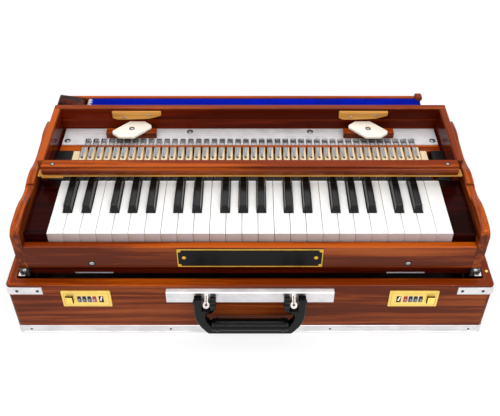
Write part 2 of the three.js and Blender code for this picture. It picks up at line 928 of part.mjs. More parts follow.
// Route of one key spring: anchor in the plate, coil on the plate, leg over the key tail. The leg
// clears the tail at the full stroke of the key.
function springRoute(x, hookX) {
  const coilY = springBlockFront + springPlate.frontInset + keySpring.coilFromEdge;
  const lowZ = springPlateTop + keySpring.wireRadius + keySpring.coilRaise;
  const coilZ = lowZ + keySpring.coilRadius;
  const start = x - (keySpring.turns * keySpring.turnPitch) / 2;
  const anchorY = coilY + keySpring.anchorLength;
  const route = [
    new THREE.Vector3(start, anchorY, springPlateTop - springPlate.thickness / 2),
    new THREE.Vector3(start, anchorY, lowZ),
  ];
  const steps = keySpring.turns * keySpring.stepsPerTurn;
  for (let i = 0; i <= steps; i += 1) {
    const turned = i / keySpring.stepsPerTurn;
    const angle = -Math.PI / 2 - 2 * Math.PI * turned;
    route.push(
      new THREE.Vector3(
        start + keySpring.turnPitch * turned,
        coilY + keySpring.coilRadius * Math.cos(angle),
        coilZ + keySpring.coilRadius * Math.sin(angle),
      ),
    );
  }
  const stroke = Math.sin(THREE.MathUtils.degToRad(keyTravelDegrees));
  const clear = leverTop + keySpring.legClearance + keySpring.wireRadius;
  const end = start + keySpring.turns * keySpring.turnPitch;
  const hookY = tailEnd - keySpring.hookFromTailEnd;
  route.push(
    new THREE.Vector3(end, tailEnd, clear + (tailEnd - keyPivot) * stroke),
    new THREE.Vector3(hookX, hookY, clear + (hookY - keyPivot) * stroke),
  );
  return route;
}

// Least distance between parts of a route that are more than half a turn apart, less the wire
function leastGapToItself(route) {
  const apart = keySpring.stepsPerTurn / 2;
  let least = Infinity;
  route.forEach((point, i) => {
    route.slice(i + apart + 1).forEach((other) => {
      least = Math.min(least, point.distanceTo(other));
    });
  });
  return least - 2 * keySpring.wireRadius;
}

// Reed board under the pallets, with the block, the aluminium plate, the button blocks and the key
// springs behind the tails and a cream piece beside the last tail at each end
function reedBoardPiece() {
  const half = carcassHalf - carcass.board - gap;
  const front = keyPivot + balanceRail.depth / 2 + gap;
  const blockHalf = half - springBlock.sideInset;
  const plateHalf = blockHalf - springPlate.sideInset;
  const blockTop = reedBoardTop + springBlock.height;
  const shapes = [
    block(-half, half, front, springBlockBack, reedBoardTop - reedBoard.thickness, reedBoardTop),
    block(-blockHalf, blockHalf, springBlockFront, springBlockBack, reedBoardTop - overlap, blockTop),
    block(
      -plateHalf,
      plateHalf,
      springBlockFront + springPlate.frontInset,
      springBlockBack - gap,
      blockTop - overlap,
      springPlateTop,
    ),
  ];
  const endPieceInner = tailCentre(keyboard.keyCount - 1) + keyboard.tailWidth / 2 + endPiece.sideGap;
  const endFront = springBlockFront - springBlock.endReach;
  for (const side of [-1, 1]) {
    const across = (a, b) => [Math.min(side * a, side * b), Math.max(side * a, side * b)];
    shapes.push(
      block(
        ...across(endPieceInner, blockHalf),
        endFront,
        springBlockFront + overlap,
        reedBoardTop - overlap,
        blockTop,
      ),
      block(
        ...across(endPieceInner, endPieceInner + endPiece.width),
        front,
        endFront + overlap,
        reedBoardTop - overlap,
        leverTop,
      ),
    );
    const centre = side * buttonBlock.fromMiddle;
    shapes.push(
      block(
        centre - buttonBlock.width / 2,
        centre + buttonBlock.width / 2,
        innerBack - buttonBlock.fromBack - buttonBlock.depth,
        innerBack - buttonBlock.fromBack,
        springPlateTop - springPlate.thickness / 2,
        springPlateTop + buttonBlock.height,
      ),
    );
  }
  for (let i = 0; i < keyboard.keyCount; i += 1) {
    const coilX = (i - (keyboard.keyCount - 1) / 2) * keySpring.pitch;
    const route = springRoute(coilX, tailCentre(i) - keySpring.hookShift);
    shapes.push(wireTube(route, keySpring.wireRadius, keySpring.sides));
  }
  addPiece('reed_board', joined(shapes), darkMahogany);
  console.log(`least gap of a key spring to itself: ${leastGapToItself(springRoute(0, 0)).toFixed(2)} mm`);
}

// Turn button: the ivory catch that holds the chamber's lid, on its block
function turnButtonPiece(name, side) {
  const right = [...turnButton.corners, ...turnButton.corners.map(([x, y]) => [-x, -y])];
  const outline = side > 0 ? right : right.map(([x, y]) => [-x, y]).reverse();
  const low = springPlateTop + buttonBlock.height + gap;
  const button = raisedUp(outline, low, low + turnButton.thickness);
  button.translate(side * turnButton.fromMiddle, innerBack - turnButton.fromBack, 0);
  addPiece(`turn_button_${name}`, button, ivory);
}

// Bellows cloth, folded shut: rings that step in and out, from the carcass to the board
function bellowsCloth() {
  const ringCount = 2 * bellows.folds + 1;
  const front = carcassBack + gap;
  const back = boardFront - gap;
  const low = floorBottom + bellows.bottomRise;
  const high = chamberTop - bellows.top;
  const positions = [];
  for (let i = 0; i < ringCount; i += 1) {
    const y = front + ((back - front) * i) / (ringCount - 1);
    const inset = i % 2 === 0 ? bellows.foldDepth : 0;
    const left = -bellows.left + inset;
    const right = bellows.right - inset;
    positions.push(left, y, low + inset, right, y, low + inset, right, y, high - inset, left, y, high - inset);
  }
  const indices = [];
  for (let i = 0; i < ringCount - 1; i += 1) {
    for (let k = 0; k < 4; k += 1) {
      const a = 4 * i + k;
      const b = 4 * i + ((k + 1) % 4);
      indices.push(a, a + 4, b, b, a + 4, b + 4);
    }
  }
  const last = 4 * (ringCount - 1);
  indices.push(0, 1, 2, 0, 2, 3, last, last + 2, last + 1, last, last + 3, last + 2);
  const cloth = new THREE.BufferGeometry();
  cloth.setAttribute('position', new THREE.Float32BufferAttribute(positions, 3));
  cloth.setIndex(indices);
  addPiece('bellows_cloth', cloth, blueCloth);
}

// Bellows board with the fluted grip at its free end and the small scroll at its hinge end
function bellowsBoardPiece() {
  const low = floorBottom + bellowsBoard.bottomRise;
  const high = chamberTop - bellowsBoard.topDrop;
  const gripTop = high + bellowsBoard.gripProud;
  const gripLeft = -bellowsBoard.left;
  const gripRight = gripLeft + bellowsBoard.gripWidth;
  const gripBottom = gripTop - bellowsBoard.gripHeight;
  const fluteRadius = bellowsBoard.gripWidth / (2 * bellowsBoard.gripFlutes);
  const shapes = [
    block(-bellowsBoard.left, bellowsBoard.right, boardFront, boardBack, low, high),
    block(
      bellowsBoard.right - bellowsBoard.scrollWidth,
      bellowsBoard.right,
      boardBack - bellowsBoard.scrollDepth,
      boardBack,
      high - bellowsBoard.scrollSeat,
      high + bellowsBoard.scrollProud,
    ),
    block(
      gripLeft,
      gripRight,
      boardFront - bellowsBoard.gripDepth + fluteRadius,
      boardBack,
      gripBottom,
      gripTop,
    ),
  ];
  for (let i = 0; i < bellowsBoard.gripFlutes; i += 1) {
    const x = gripLeft + fluteRadius * (2 * i + 1);
    const flute = raisedUp(
      circle(x, boardFront - bellowsBoard.gripDepth + fluteRadius, fluteRadius),
      gripBottom,
      gripTop,
    );
    shapes.push(flute);
  }
  addPiece('bellows_board', joined(shapes), mahogany);
}

caseTray();
carryHandlePlate();
carryHandle();
outerLiftFrame();
innerLiftFrame();
keyBed();
chamberFrame();
reedBoardPiece();
bellowsCloth();
bellowsBoardPiece();
for (const [name, side] of [['left', -1], ['right', 1]]) {
  combinationLock(name, side);
  cheekBoard(name, side);
  turnButtonPiece(name, side);
}
for (const place of keyPlaces()) {
  if (place.raised) {
    raisedKey(place);
  } else {
    whiteKey(place);
  }
}

harmonium.position.y = -trayDepth / 2;

export default harmonium;
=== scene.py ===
"""Looks of a folding suitcase harmonium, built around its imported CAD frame.

Lengths are metres in the row frame: X along the keyboard, Y from the player to the back, Z up.
"""

import math

import bmesh
import bpy
from mathutils import Euler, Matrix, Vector, noise


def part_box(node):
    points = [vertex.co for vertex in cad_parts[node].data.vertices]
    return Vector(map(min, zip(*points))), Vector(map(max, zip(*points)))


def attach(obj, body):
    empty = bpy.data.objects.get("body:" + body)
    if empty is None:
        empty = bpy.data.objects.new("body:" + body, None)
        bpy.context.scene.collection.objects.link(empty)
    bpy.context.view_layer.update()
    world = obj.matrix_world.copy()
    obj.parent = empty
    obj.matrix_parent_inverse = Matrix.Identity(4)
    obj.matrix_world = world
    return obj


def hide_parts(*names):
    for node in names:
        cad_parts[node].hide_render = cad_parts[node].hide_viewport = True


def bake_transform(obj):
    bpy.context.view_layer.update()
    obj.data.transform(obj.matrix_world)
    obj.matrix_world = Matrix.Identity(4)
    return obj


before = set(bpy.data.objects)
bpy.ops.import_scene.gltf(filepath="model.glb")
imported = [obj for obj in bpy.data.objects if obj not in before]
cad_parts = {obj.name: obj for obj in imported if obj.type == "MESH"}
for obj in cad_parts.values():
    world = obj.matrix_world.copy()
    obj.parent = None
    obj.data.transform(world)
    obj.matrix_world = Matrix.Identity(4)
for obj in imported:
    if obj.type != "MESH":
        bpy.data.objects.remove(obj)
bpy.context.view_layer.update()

bl_info = {
    "name": "Indian harmonium",
    "version": (1, 0, 0),
    "blender": (4, 5, 0),
    "location": "View3D > Sidebar > Harmonium",
    "description": "Builds the finished pieces of a folding harmonium on its frame",
    "category": "Add Mesh",
}

MM = 0.001
SIDES = (("left", -1), ("right", 1))
BOARD_SHIFT = 0.413
FINISH_PREFIX = "finish_"
SMOOTH_ANGLE = math.radians(38)
CLEARANCE = 0.3 * MM
TAIL_GAP = 1.5 * MM
SUNK = 0.3 * MM
FRONT = (0, -1, 0)
UP = (0, 0, 1)


class Limits:
    """The limits of a CAD node at rest."""

    def __init__(self, node):
        low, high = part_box(node)
        self.left, self.front, self.bottom = low
        self.right, self.back, self.top = high

    def outline(self, inset, radius):
        """Round-cornered outline of the node seen from the front, set in from its edges."""
        sides = self.left + inset, self.right - inset, self.bottom + inset, self.top - inset
        return rounded(*sides, radius, 3)


TRAY = Limits("case_tray")
BED = Limits("key_bed")
CHAMBER = Limits("chamber_frame")
REED_BOARD = Limits("reed_board")
CHEEK = Limits("cheek_right")
CLOTH = Limits("bellows_cloth")
BOARD = Limits("bellows_board")
HANDLE_PLATE = Limits("handle_plate")
HANDLE = Limits("carry_handle")
KEY_NODES = sorted(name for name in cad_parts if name.startswith("key_") and name != "key_bed")
WHITE_NODES = [name for name in KEY_NODES if "sharp" not in name]
RAISED_NODES = [name for name in KEY_NODES if "sharp" in name]
WHITE_KEY = Limits(WHITE_NODES[0])
SLIP_TOP = CHAMBER.bottom - CLEARANCE
LEVER_FOOT = SLIP_TOP - 2.1 * MM


def length(label, told, millimetres):
    """A length that can be changed, given in millimetres."""
    return bpy.props.FloatProperty(
        name=label, description=told, default=millimetres * MM, min=0, unit="LENGTH"
    )


def linear(red, green, blue):
    """Linear colour of a red, green and blue between 0 and 255."""
    return tuple(
        (c / 255 / 12.92) if c < 10.3 else ((c / 255 + 0.055) / 1.055) ** 2.4 for c in (red, green, blue)
    )


def dimmed(colour, share):
    """A share of a colour."""
    return tuple(c * share for c in colour)


def shade(label, told, red, green, blue):
    """A colour that can be changed, given as red, green and blue between 0 and 255."""
    return bpy.props.FloatVectorProperty(
        name=label, description=told, default=linear(red, green, blue), min=0, max=1, subtype="COLOR"
    )


class HarmoniumCase(bpy.types.PropertyGroup):
    """Sizes of the case tray and its fittings."""

    end_wall: length("Front wall", "Thickness of the front and back walls", 13.7)
    side_wall: length("Side wall", "Thickness of the side walls", 12)
    floor: length("Floor", "Thickness of the floor", 6)
    corner: length("Corner radius", "Rounding of the outer corners", 6)
    inner_corner: length("Inner corner", "Rounding of the inner corners", 3)
    rim_round: length("Rim rounding", "Rounding of the rim's edges", 1.6)
    band_height: length("Foot band height", "Height of the metal band round the foot", 15)
    band_proud: length("Foot band", "How far the band stands proud of the wood", 0.8)
    band_lip: length("Band lip", "How far the lip at the band's foot stands out", 1.2)
    strap_height: length("Strap height", "Height of a corner strap", 12.6)
    strap_drop: length("Strap drop", "From the rim to the strap's top", 2.4)
    strap_reach: length("Strap reach", "From the end of the case to the strap's end", 46.6)
    strap_proud: length("Strap", "How far a strap stands proud", 1.6)
    pin_radius: length("Lift pin", "Radius of the pins that the lift turns on", 3)
    pin_inset: length("Lift pin inset", "From the front wall to the pins", 6.3)
    pin_height: length("Lift pin height", "Height of the pins", 11.3)
    pin_length: length("Lift pin length", "Length of a pin", 3.9)


class HarmoniumLocks(bpy.types.PropertyGroup):
    """Sizes of the two combination locks."""

    thickness: length("Plate", "Thickness of the lock plate", 2.5)
    edge: length("Edge", "Width of the plate's raised edge", 1.5)
    wheel_pitch: length("Wheel pitch", "From one number wheel to the next", 6.6)
    wheel_shift: length("Wheel shift", "From the plate's middle to the middle of the wheels", 0.7)
    wheel_width: length("Wheel width", "Width of a number wheel", 4.6)
    wheel_height: length("Wheel height", "Height of a wheel's window", 11.4)
    wheel_radius: length("Wheel radius", "Radius of a number wheel", 12)
    wheel_proud: length("Wheel", "How far a wheel stands proud", 1.6)
    foot_raise: length("Foot raise", "From the CAD plate's foot to the plate's", 1.5)
    catch_shift: length("Catch", "From the plate's middle to the lid catch", 19.2)
    rivet_inset: length("Rivet inset", "From the plate's edges to a rivet", 3.4)


class HarmoniumHandle(bpy.types.PropertyGroup):
    """Sizes of the handle and its strip."""

    strip_thickness: length("Strip", "Thickness of the handle strip", 7)
    strip_height: length("Strip height", "Height of the handle strip", 19.3)
    strip_slope: length("Strip slope", "How far the strip's top falls to its front", 1.4)
    pivot_out: length("Pivot distance", "From the case to the handle's pins", 16.2)
    pivot_height: length("Pivot height", "Height of the handle's pins", 82)
    pin_radius: length("Pin radius", "Radius of the handle's pins", 2.5)
    pin_length: length("Pin length", "How far a pin reaches into its arm", 8.5)
    link_place: length("Link place", "From the middle to the middle of a link", 56.1)
    link_width: length("Link width", "Width of a link's neck", 4.6)
    link_thickness: length("Link", "Thickness of a link", 1.8)
    link_ring: length("Link ring", "Radius of a link's round end", 4.6)
    link_hole: length("Link hole", "Radius of the hole in a link", 1.6)
    bush_radius: length("Bush", "Radius of the round bush beside a link", 8)
    bush_width: length("Bush width", "Width of that bush", 7.5)
    arm_width: length("Arm width", "Width of a handle arm", 18.5)
    arm_thickness: length("Arm thickness", "Thickness of a handle arm", 12)
    notch_width: length("Notch width", "Width of the notch beside a link", 8.2)
    notch_drop: length("Notch depth", "From the pins down to the notch's floor", 13)
    shoulder: length("Shoulder", "Height where the arms start to lean in", 57)
    knee: length("Knee", "Height of the knee in the arms' outer side", 39)
    knee_half: length("Knee place", "From the middle to that knee", 64)
    foot_half: length("Foot", "Half the length of the handle's straight foot", 54.5)
    bar_height: length("Bar", "Height of the flat bar under the grip", 11)
    collar: length("Collar", "How far a collar stands out of the grip", 1)
    grip_height: length("Grip height", "Height of the grip's middle", 36.5)
    grip_radius: length("Grip radius", "Radius of the grip", 8.4)


class HarmoniumCarcass(bpy.types.PropertyGroup):
    """Sizes of the carcass, its cheeks and the name plate."""

    slip_thickness: length("Slip", "Thickness of the slip under the keys", 10.8)
    board: length("Board", "Thickness of the side boards", 10.5)
    back_board: length("Back board", "Thickness of the back board", 9.5)
    floor_board: length("Floor board", "Thickness of the floor", 8)
    floor_drop: length("Floor drop", "From the cheeks' underside down to the floor's", 12.2)
    apron_inset: length("Apron inset", "From the slip's face to the apron's", 6.4)
    apron_thickness: length("Apron", "Thickness of the apron", 8)
    apron_rise: length("Apron rise", "How far the apron rises behind the slip", 20.8)
    block_width: length("Key block width", "Width of a key block", 28.25)
    block_height: length("Key block height", "Height of a key block", 29)
    edge_round: length("Edge rounding", "Rounding of the boards' edges", 1.4)
    cheek_round: length("Cheek rounding", "Rounding of a cheek's top edges", 2.6)
    groove_from_front: length("Groove", "From the cheek's front to its groove", 91.5)
    groove_width: length("Groove width", "Width of the cheek's groove", 3.2)
    groove_depth: length("Groove depth", "Depth of the cheek's groove", 2.4)
    bracket_thickness: length("Bracket", "Thickness of a lift bracket", 3)
    bracket_length: length("Bracket length", "Length of a lift bracket", 30.5)
    bracket_height: length("Bracket height", "Height of a lift bracket", 11.7)
    tab_width: length("Tab width", "Width of the tab at a cheek's foot", 9)
    tab_length: length("Tab length", "Length of the tab at a cheek's foot", 8)
    tab_place: length("Tab place", "From the middle to the outer side of the tab", 300.4)
    plate_width: length("Name plate width", "Width of the bare name plate", 186)
    plate_height: length("Name plate height", "Height of the bare name plate", 32.4)
    plate_thickness: length("Name plate", "Thickness of the name plate", 1.3)
    plate_border: length("Plate border", "Width of the plate's gilt border", 1.7)
    hinge_length: length("Hinge length", "Length of a hinge leaf", 50)
    hinge_centre: length("Hinge place", "From the middle to a hinge leaf", 204)


class HarmoniumChamber(bpy.types.PropertyGroup):
    """Sizes of the reed chamber and what is in it."""

    wall: length("Wall", "Thickness of the side walls", 10.5)
    back_wall: length("Back wall", "Thickness of the back wall", 9.5)
    wall_inset: length("Wall inset", "From the carcass's side to the wall's outer face", 1)
    rail_depth: length("Rail depth", "Depth of the fall rail's top", 13.8)
    rail_height: length("Rail height", "Height of the fall rail", 19)
    rail_bulge: length("Rail bulge", "How far the rail's moulding stands out", 2.6)
    rail_roll: length("Rail roll", "Radius of the rail's round moulding", 6.2)
    strip_height: length("Strip height", "Height of the light strip under the rail", 4.6)
    ledge_height: length("Ledge height", "From the plate up to the ledge on the back wall", 15.9)
    ledge_proud: length("Ledge", "How far the ledge stands out", 1.4)
    batten_width: length("Batten width", "Length of a batten's top", 71.5)
    batten_low_width: length("Batten low width", "Length of a batten's underside", 36)
    batten_height: length("Batten height", "Height of a batten", 14)
    batten_place: length("Batten place", "From the middle to a batten", 165)
    batten_thickness: length("Batten", "Thickness of a batten", 4.5)
    batten_drop: length("Batten drop", "From the chamber's top to a batten", 3.5)
    block_place: length("Block place", "From the middle to a button block", 172.5)
    block_width: length("Block width", "Width of a button block", 73)
    block_depth: length("Block depth", "Depth of a button block", 12.5)
    block_back: length("Block back", "From the back wall to a button block", 12.5)
    block_height: length("Block height", "Height of a button block", 10)
    spring_block: length("Spring block", "Height of the block under the plate", 15.5)
    plate_thickness: length("Spring plate", "Thickness of the spring plate", 1.5)
    plate_inset: length("Plate inset", "From the block's front to the plate's", 3.7)
    board_thickness: length("Reed board", "Thickness of the reed board", 14)
    rail_end: length("Rail end", "From the chamber's side to the end of the moulding", 9)
    stop_left: length("Left end stop", "From the middle to the left end stop", 252.6)
    stop_right: length("Right end stop", "From the middle to the right end stop", 257.3)
    stop_back: length("End stop back", "From the rail's front to the back of an end stop", 75.8)
    end_reach: length("End shelf", "How far the spring block comes forward at its ends", 10)
    end_inner: length("End piece", "From the middle to the cream piece beside the tails", 243)
    end_width: length("End piece width", "Width of that cream piece", 9)


class HarmoniumKeys(bpy.types.PropertyGroup):
    """Sizes of the keys."""

    top_thickness: length("Key top", "Thickness of a white key's top", 2.4)
    edge_round: length("Edge rounding", "Rounding of a white key's edges", 0.55)
    raised_width: length("Raised key width", "Width of a raised key at its foot", 11.5)
    raised_top: length("Raised key top", "Width of a raised key's top", 8.5)
    raised_slope: length("Front slope", "How far a raised key's front leans back", 4.6)
    raised_round: length("Raised key rounding", "Rounding of the top's front corners", 1.6)
    raised_edge: length("Raised key edge", "Rounding of a raised key's top edges", 1.1)
    lever_thickness: length("Lever", "Thickness of a key's lever", 11)
    lever_run: length("Lever run", "How far a lever runs into a raised key", 9)
    tail_strip: length("Tail strip", "Length of the grey strip on a key tail", 24)
    tail_width: length("Tail width", "Width of a key tail", 8.2)
    white_length: length("White key length", "Length of a white key's top", 101.9)
    # The black strip behind the key tops is painted shade under the fall rail.
    shade_strip_length: length("Felt", "Length of the black felt behind the key tops", 17)
    hook_back: length("Hook", "From a tail's end to the hook of its spring", 22.5)
    hook_shift: length("Hook shift", "From a tail's middle to that hook", 0.8)


class HarmoniumSprings(bpy.types.PropertyGroup):
    """Sizes of the key springs."""

    wire: length("Wire", "Radius of the wire", 0.45)
    curl: length("Curl", "Radius of the wire's curl on the tail", 1.7)
    coil: length("Coil", "Radius of the coil", 2.7)
    turn_pitch: length("Turn pitch", "From one turn to the next", 1.85)
    from_edge: length("From edge", "From the plate's front edge to the coil", 4.8)
    raise_up: length("Raise", "From the plate to the coil", 0.4)
    anchor: length("Anchor", "From the coil to the wire's anchor", 7)
    arch: length("Arch", "How high the leg arches over the tail", 1.6)
    coil_pitch: length("Coil pitch", "From one coil to the next", 11.4)
    tail_pitch: length("Tail pitch", "From one key tail to the next", 11.6)
    turns: bpy.props.IntProperty(name="Turns", description="Turns of a coil", default=4, min=1)
    steps: bpy.props.IntProperty(name="Steps", description="Steps of a turn", default=16, min=6)


class HarmoniumBellows(bpy.types.PropertyGroup):
    """Sizes of the bellows."""

    fold_depth: length("Fold depth", "Depth of a fold", 7)
    corner: length("Corner", "Rounding of the cloth's corners", 5)
    ripple: length("Ripple", "Unevenness of the folds", 0.5)
    rise: length("Rise", "How far the cloth's top stands over its CAD solid", 3)
    edging: length("Edging", "Width of the white edging", 3)
    step: length("Step", "Spacing of the points round a fold", 9)
    board_thickness: length("Board", "Thickness of the bellows board", 5.5)
    grip_width: length("Grip width", "Width of the grip", 39.7)
    grip_height: length("Grip height", "Height of the grip", 58)
    scroll_width: length("Scroll width", "Width of the small scroll", 11)
    scroll_depth: length("Scroll depth", "Depth of the small scroll", 12)
    board_drop: length("Board drop", "From the grip's top to the board's", 4.5)
    folds: bpy.props.IntProperty(name="Folds", description="Folds of the cloth", default=5, min=1)
    flutes: bpy.props.IntProperty(name="Flutes", description="Flutes of the grip", default=5, min=1)


class HarmoniumColours(bpy.types.PropertyGroup):
    """Colours of the finishes."""

    wood_deep: shade("Wood, deep", "Dark streaks of the varnished wood", 92, 36, 14)
    wood_middle: shade("Wood", "Varnished wood", 132, 59, 22)
    wood_pale: shade("Wood, pale", "Pale streaks of the varnished wood", 160, 80, 36)
    # The two upper face colours are painted light: the wood's tops are shown brighter and more orange than
    # its upright faces.
    lit_top_deep: shade("Upper face, deep", "Dark streaks of the upper faces", 128, 46, 4)
    upper: shade("Upper face", "Upper faces of the varnished wood", 188, 84, 10)
    maroon: shade("Maroon", "Key blocks", 44, 8, 5)
    inner: shade("Inner wood", "Wood inside the chamber", 118, 34, 8)
    bare_wood: shade("Bare wood", "Unvarnished wood", 222, 156, 66)
    lever_wood: shade("Lever wood", "Wood of the key levers", 252, 226, 184)
    key_white: shade("Key white", "White key tops", 249, 249, 247)
    # The key front colour is the keys' white celluloid with painted shade on the upright fronts, and a
    # slight mauve tint.
    key_front: shade("Key front", "Fronts of the white keys", 184, 168, 166)
    key_black: shade("Key black", "Raised keys", 14, 15, 16)
    ivory: shade("Ivory", "Turn buttons", 250, 244, 232)
    cloth: shade("Cloth", "Bellows cloth", 2, 36, 205)
    # The felt colour is painted sheen of the spring legs on the key tails.
    felt: shade("Felt", "Strips on the key tails", 190, 195, 200)
    aluminium: shade("Aluminium", "Bands, straps and plates", 232, 230, 232)
    steel: shade("Steel", "Springs, screws and the lift", 170, 170, 172)
    brass: shade("Brass", "Lock plates", 255, 222, 120)
    gilt: shade("Gilt", "Border of the name plate", 226, 176, 62)
    black: shade("Black", "Handle and name plate", 14, 14, 15)


SETTINGS = {
    "harmonium_case": HarmoniumCase,
    "harmonium_locks": HarmoniumLocks,
    "harmonium_handle": HarmoniumHandle,
    "harmonium_carcass": HarmoniumCarcass,
    "harmonium_chamber": HarmoniumChamber,
    "harmonium_keys": HarmoniumKeys,
    "harmonium_springs": HarmoniumSprings,
    "harmonium_bellows": HarmoniumBellows,
    "harmonium_colours": HarmoniumColours,
}


class Value:
    """A node's output that takes part in sums."""

    def __init__(self, sheet, socket):
        self.sheet = sheet
        self.socket = socket

    def maths(self, operation, *values):
        """A Math node's result."""
        return self.sheet.node("ShaderNodeMath", {"operation": operation}, dict(enumerate(values)))

    def __add__(self, other):
        return self.maths("ADD", self, other)

    __radd__ = __add__

    def __sub__(self, other):
        return self.maths("SUBTRACT", self, other)

    def __mul__(self, other):
        return self.maths("MULTIPLY", self, other)

    def above(self, start, end):
        """0 below start, 1 above end and smooth between them."""
        return self.sheet.node(
            "ShaderNodeMapRange", {"interpolation_type": "SMOOTHSTEP"},
            {"Value": self, "From Min": start, "From Max": end},
        )


class Sheet:
    """A tree of nodes under construction."""

    def __init__(self, tree):
        self.tree = tree

    def node(self, kind, settings=None, values=None, out=0):
        """Makes a node: its settings first, then the values or links of its sockets."""
        made = self.tree.nodes.new(kind)
        for key, setting in (settings or {}).items():
            if key == "stops":
                self.set_stops(made.color_ramp, setting)
            else:
                setattr(made, key, setting)
        for key, value in (values or {}).items():
            if isinstance(value, Value):
                self.tree.links.new(value.socket, made.inputs[key])
            else:
                made.inputs[key].default_value = value
        if isinstance(out, tuple):
            return [Value(self, made.outputs[name]) for name in out]
        return Value(self, made.outputs[out]) if made.outputs else made

    def seen(self):
        """1 for rays of the camera, and for those that come from a mirror or through glass."""
        rays = ("Is Camera Ray", "Is Glossy Ray", "Is Transmission Ray")
        camera, glossy, passed = self.node("ShaderNodeLightPath", out=rays)
        adding = {"operation": "ADD", "use_clamp": True}
        return self.node("ShaderNodeMath", adding, {0: camera, 1: glossy + passed})

    @staticmethod
    def set_stops(ramp, stops):
        """Places the stops of a colour ramp."""
        while len(ramp.elements) < len(stops):
            ramp.elements.new(1)
        for element, (place, colour) in zip(ramp.elements, stops):
            element.position = place
            element.color = (*colour, 1)


class Finish(Sheet):
    """A material under construction."""

    def __init__(self, name):
        self.material = bpy.data.materials.new(FINISH_PREFIX + name)
        self.material.use_nodes = True
        super().__init__(self.material.node_tree)
        self.tree.nodes.clear()

    def place(self):
        """X, Y and Z of the object's coordinates."""
        where = self.node("ShaderNodeTexCoord", out="Object")
        return self.node("ShaderNodeSeparateXYZ", None, {0: where}, out=("X", "Y", "Z"))

    def grain(self):
        """Places along, across and through the grain."""
        where = self.node("ShaderNodeAttribute", {"attribute_name": "grain"}, out="Vector")
        return self.node("ShaderNodeSeparateXYZ", None, {0: where}, out=("X", "Y", "Z"))

    def lit_top_share(self):
        """1 where a face looks up, 0 where it is upright: the share of painted light on the tops."""
        way = self.node("ShaderNodeTexCoord", out="Normal")
        up = self.node("ShaderNodeSeparateXYZ", None, {0: way}, out=("X", "Y", "Z"))[2]
        return up.above(0.45, 0.85)

    def noise(self, x, y, z, detail=3, roughness=0.55):
        """Noise at a place."""
        where = self.node("ShaderNodeCombineXYZ", None, {0: x, 1: y, 2: z})
        return self.node(
            "ShaderNodeTexNoise", None,
            {"Vector": where, "Scale": 1, "Detail": detail, "Roughness": roughness},
        )

    def even(self, fineness, detail, roughness=0.55):
        """Noise that is as fine every way."""
        x, y, z = self.place()
        return self.noise(x * fineness, y * fineness, z * fineness, detail, roughness)

    def ramp(self, value, *stops):
        """Colour of a value between the stops."""
        return self.node("ShaderNodeValToRGB", {"stops": stops}, {0: value})

    def mix(self, share, first, second):
        """Mixes two colours."""
        return self.node("ShaderNodeMix", {"data_type": "RGBA"}, {0: share, 6: first, 7: second}, out=2)

    def bump(self, height, distance, strength=1.0):
        """A normal that follows a height."""
        return self.node(
            "ShaderNodeBump", None, {"Height": height, "Distance": distance, "Strength": strength}
        )

    def done(self, **values):
        """Ends the material with a shader of these values."""
        named = {key.replace("_", " "): value for key, value in values.items()}
        shader = self.node("ShaderNodeBsdfPrincipled", None, named)
        self.node("ShaderNodeOutputMaterial", None, {"Surface": shader})
        return self.material


class Tree(Sheet):
    """A geometry node tree under construction, with named inputs."""

    def __init__(self, name, kinds):
        group = bpy.data.node_groups.new(name, "GeometryNodeTree")
        super().__init__(group)
        group.interface.new_socket("Geometry", in_out="INPUT", socket_type="NodeSocketGeometry")
        for label, kind in kinds.items():
            group.interface.new_socket(label, in_out="INPUT", socket_type="NodeSocket" + kind)
        group.interface.new_socket("Geometry", in_out="OUTPUT", socket_type="NodeSocketGeometry")
        self.source = group.nodes.new("NodeGroupInput")

    def given(self, label):
        """One of the tree's inputs."""
        return Value(self, self.source.outputs[label])

    def close(self, geometry):
        """Ends the tree with a realized, smooth geometry in its material."""
        whole = self.node("GeometryNodeRealizeInstances", None, {0: geometry})
        smooth = self.node("GeometryNodeSetShadeSmooth", None, {0: whole})
        dressed = self.node(
            "GeometryNodeSetMaterial", None, {"Geometry": smooth, "Material": self.given("Material")}
        )
        self.node("NodeGroupOutput", None, {0: dressed})
        return self.tree


def link(obj):
    """Puts an object in the scene."""
    bpy.context.scene.collection.objects.link(obj)
    return obj


def grown(name, mesh, tree, inputs):
    """A plain mesh that a geometry node tree grows on a mesh."""
    carrier = link(bpy.data.objects.new(name + "_points", mesh))
    modifier = carrier.modifiers.new("grow", "NODES")
    modifier.node_group = tree
    for item in tree.interface.items_tree:
        if item.in_out == "INPUT" and item.name in inputs:
            modifier[item.identifier] = inputs[item.name]
    bpy.context.view_layer.update()
    evaluated = carrier.evaluated_get(bpy.context.evaluated_depsgraph_get())
    made = bpy.data.meshes.new_from_object(evaluated)
    bpy.data.objects.remove(carrier)
    bpy.data.meshes.remove(mesh)
    made.name = name
    return made


def lacquered_wood(name, deep, middle, pale, lit_top_deep, upper, gloss=0.12):
    """Varnished wood with long streaks; its upper faces take brighter, more orange colours as painted light.
    """
    finish = Finish(name)
    run, across, depth = finish.grain()
    wander = finish.noise(run * 4, across * 22, depth * 22, 2) - 0.5
    bent = across + wander * 0.016
    streak = finish.noise(run * 4, bent * 150, depth * 150, 7, 0.62)
    broad = finish.noise(run * 1.8, bent * 26, depth * 26, 3)
    pores = finish.noise(run * 45, bent * 1500, depth * 1500, 3)
    tone = streak * 0.5 + broad * 0.56 + pores * 0.14 - 0.14
    face = finish.ramp(tone, (0.42, deep), (0.5, middle), (0.6, pale))
    # Painted light: faces that look up take the lit top colours instead of the face colours.
    lit = finish.ramp(tone, (0.43, lit_top_deep), (0.52, upper))
    colour = finish.mix(finish.lit_top_share(), face, lit)
    return finish.done(
        Base_Color=colour,
        Roughness=streak * 0.1 + 0.1,
        Specular_IOR_Level=gloss,
        Normal=finish.bump(pores, 0.00005, 0.2),
    )


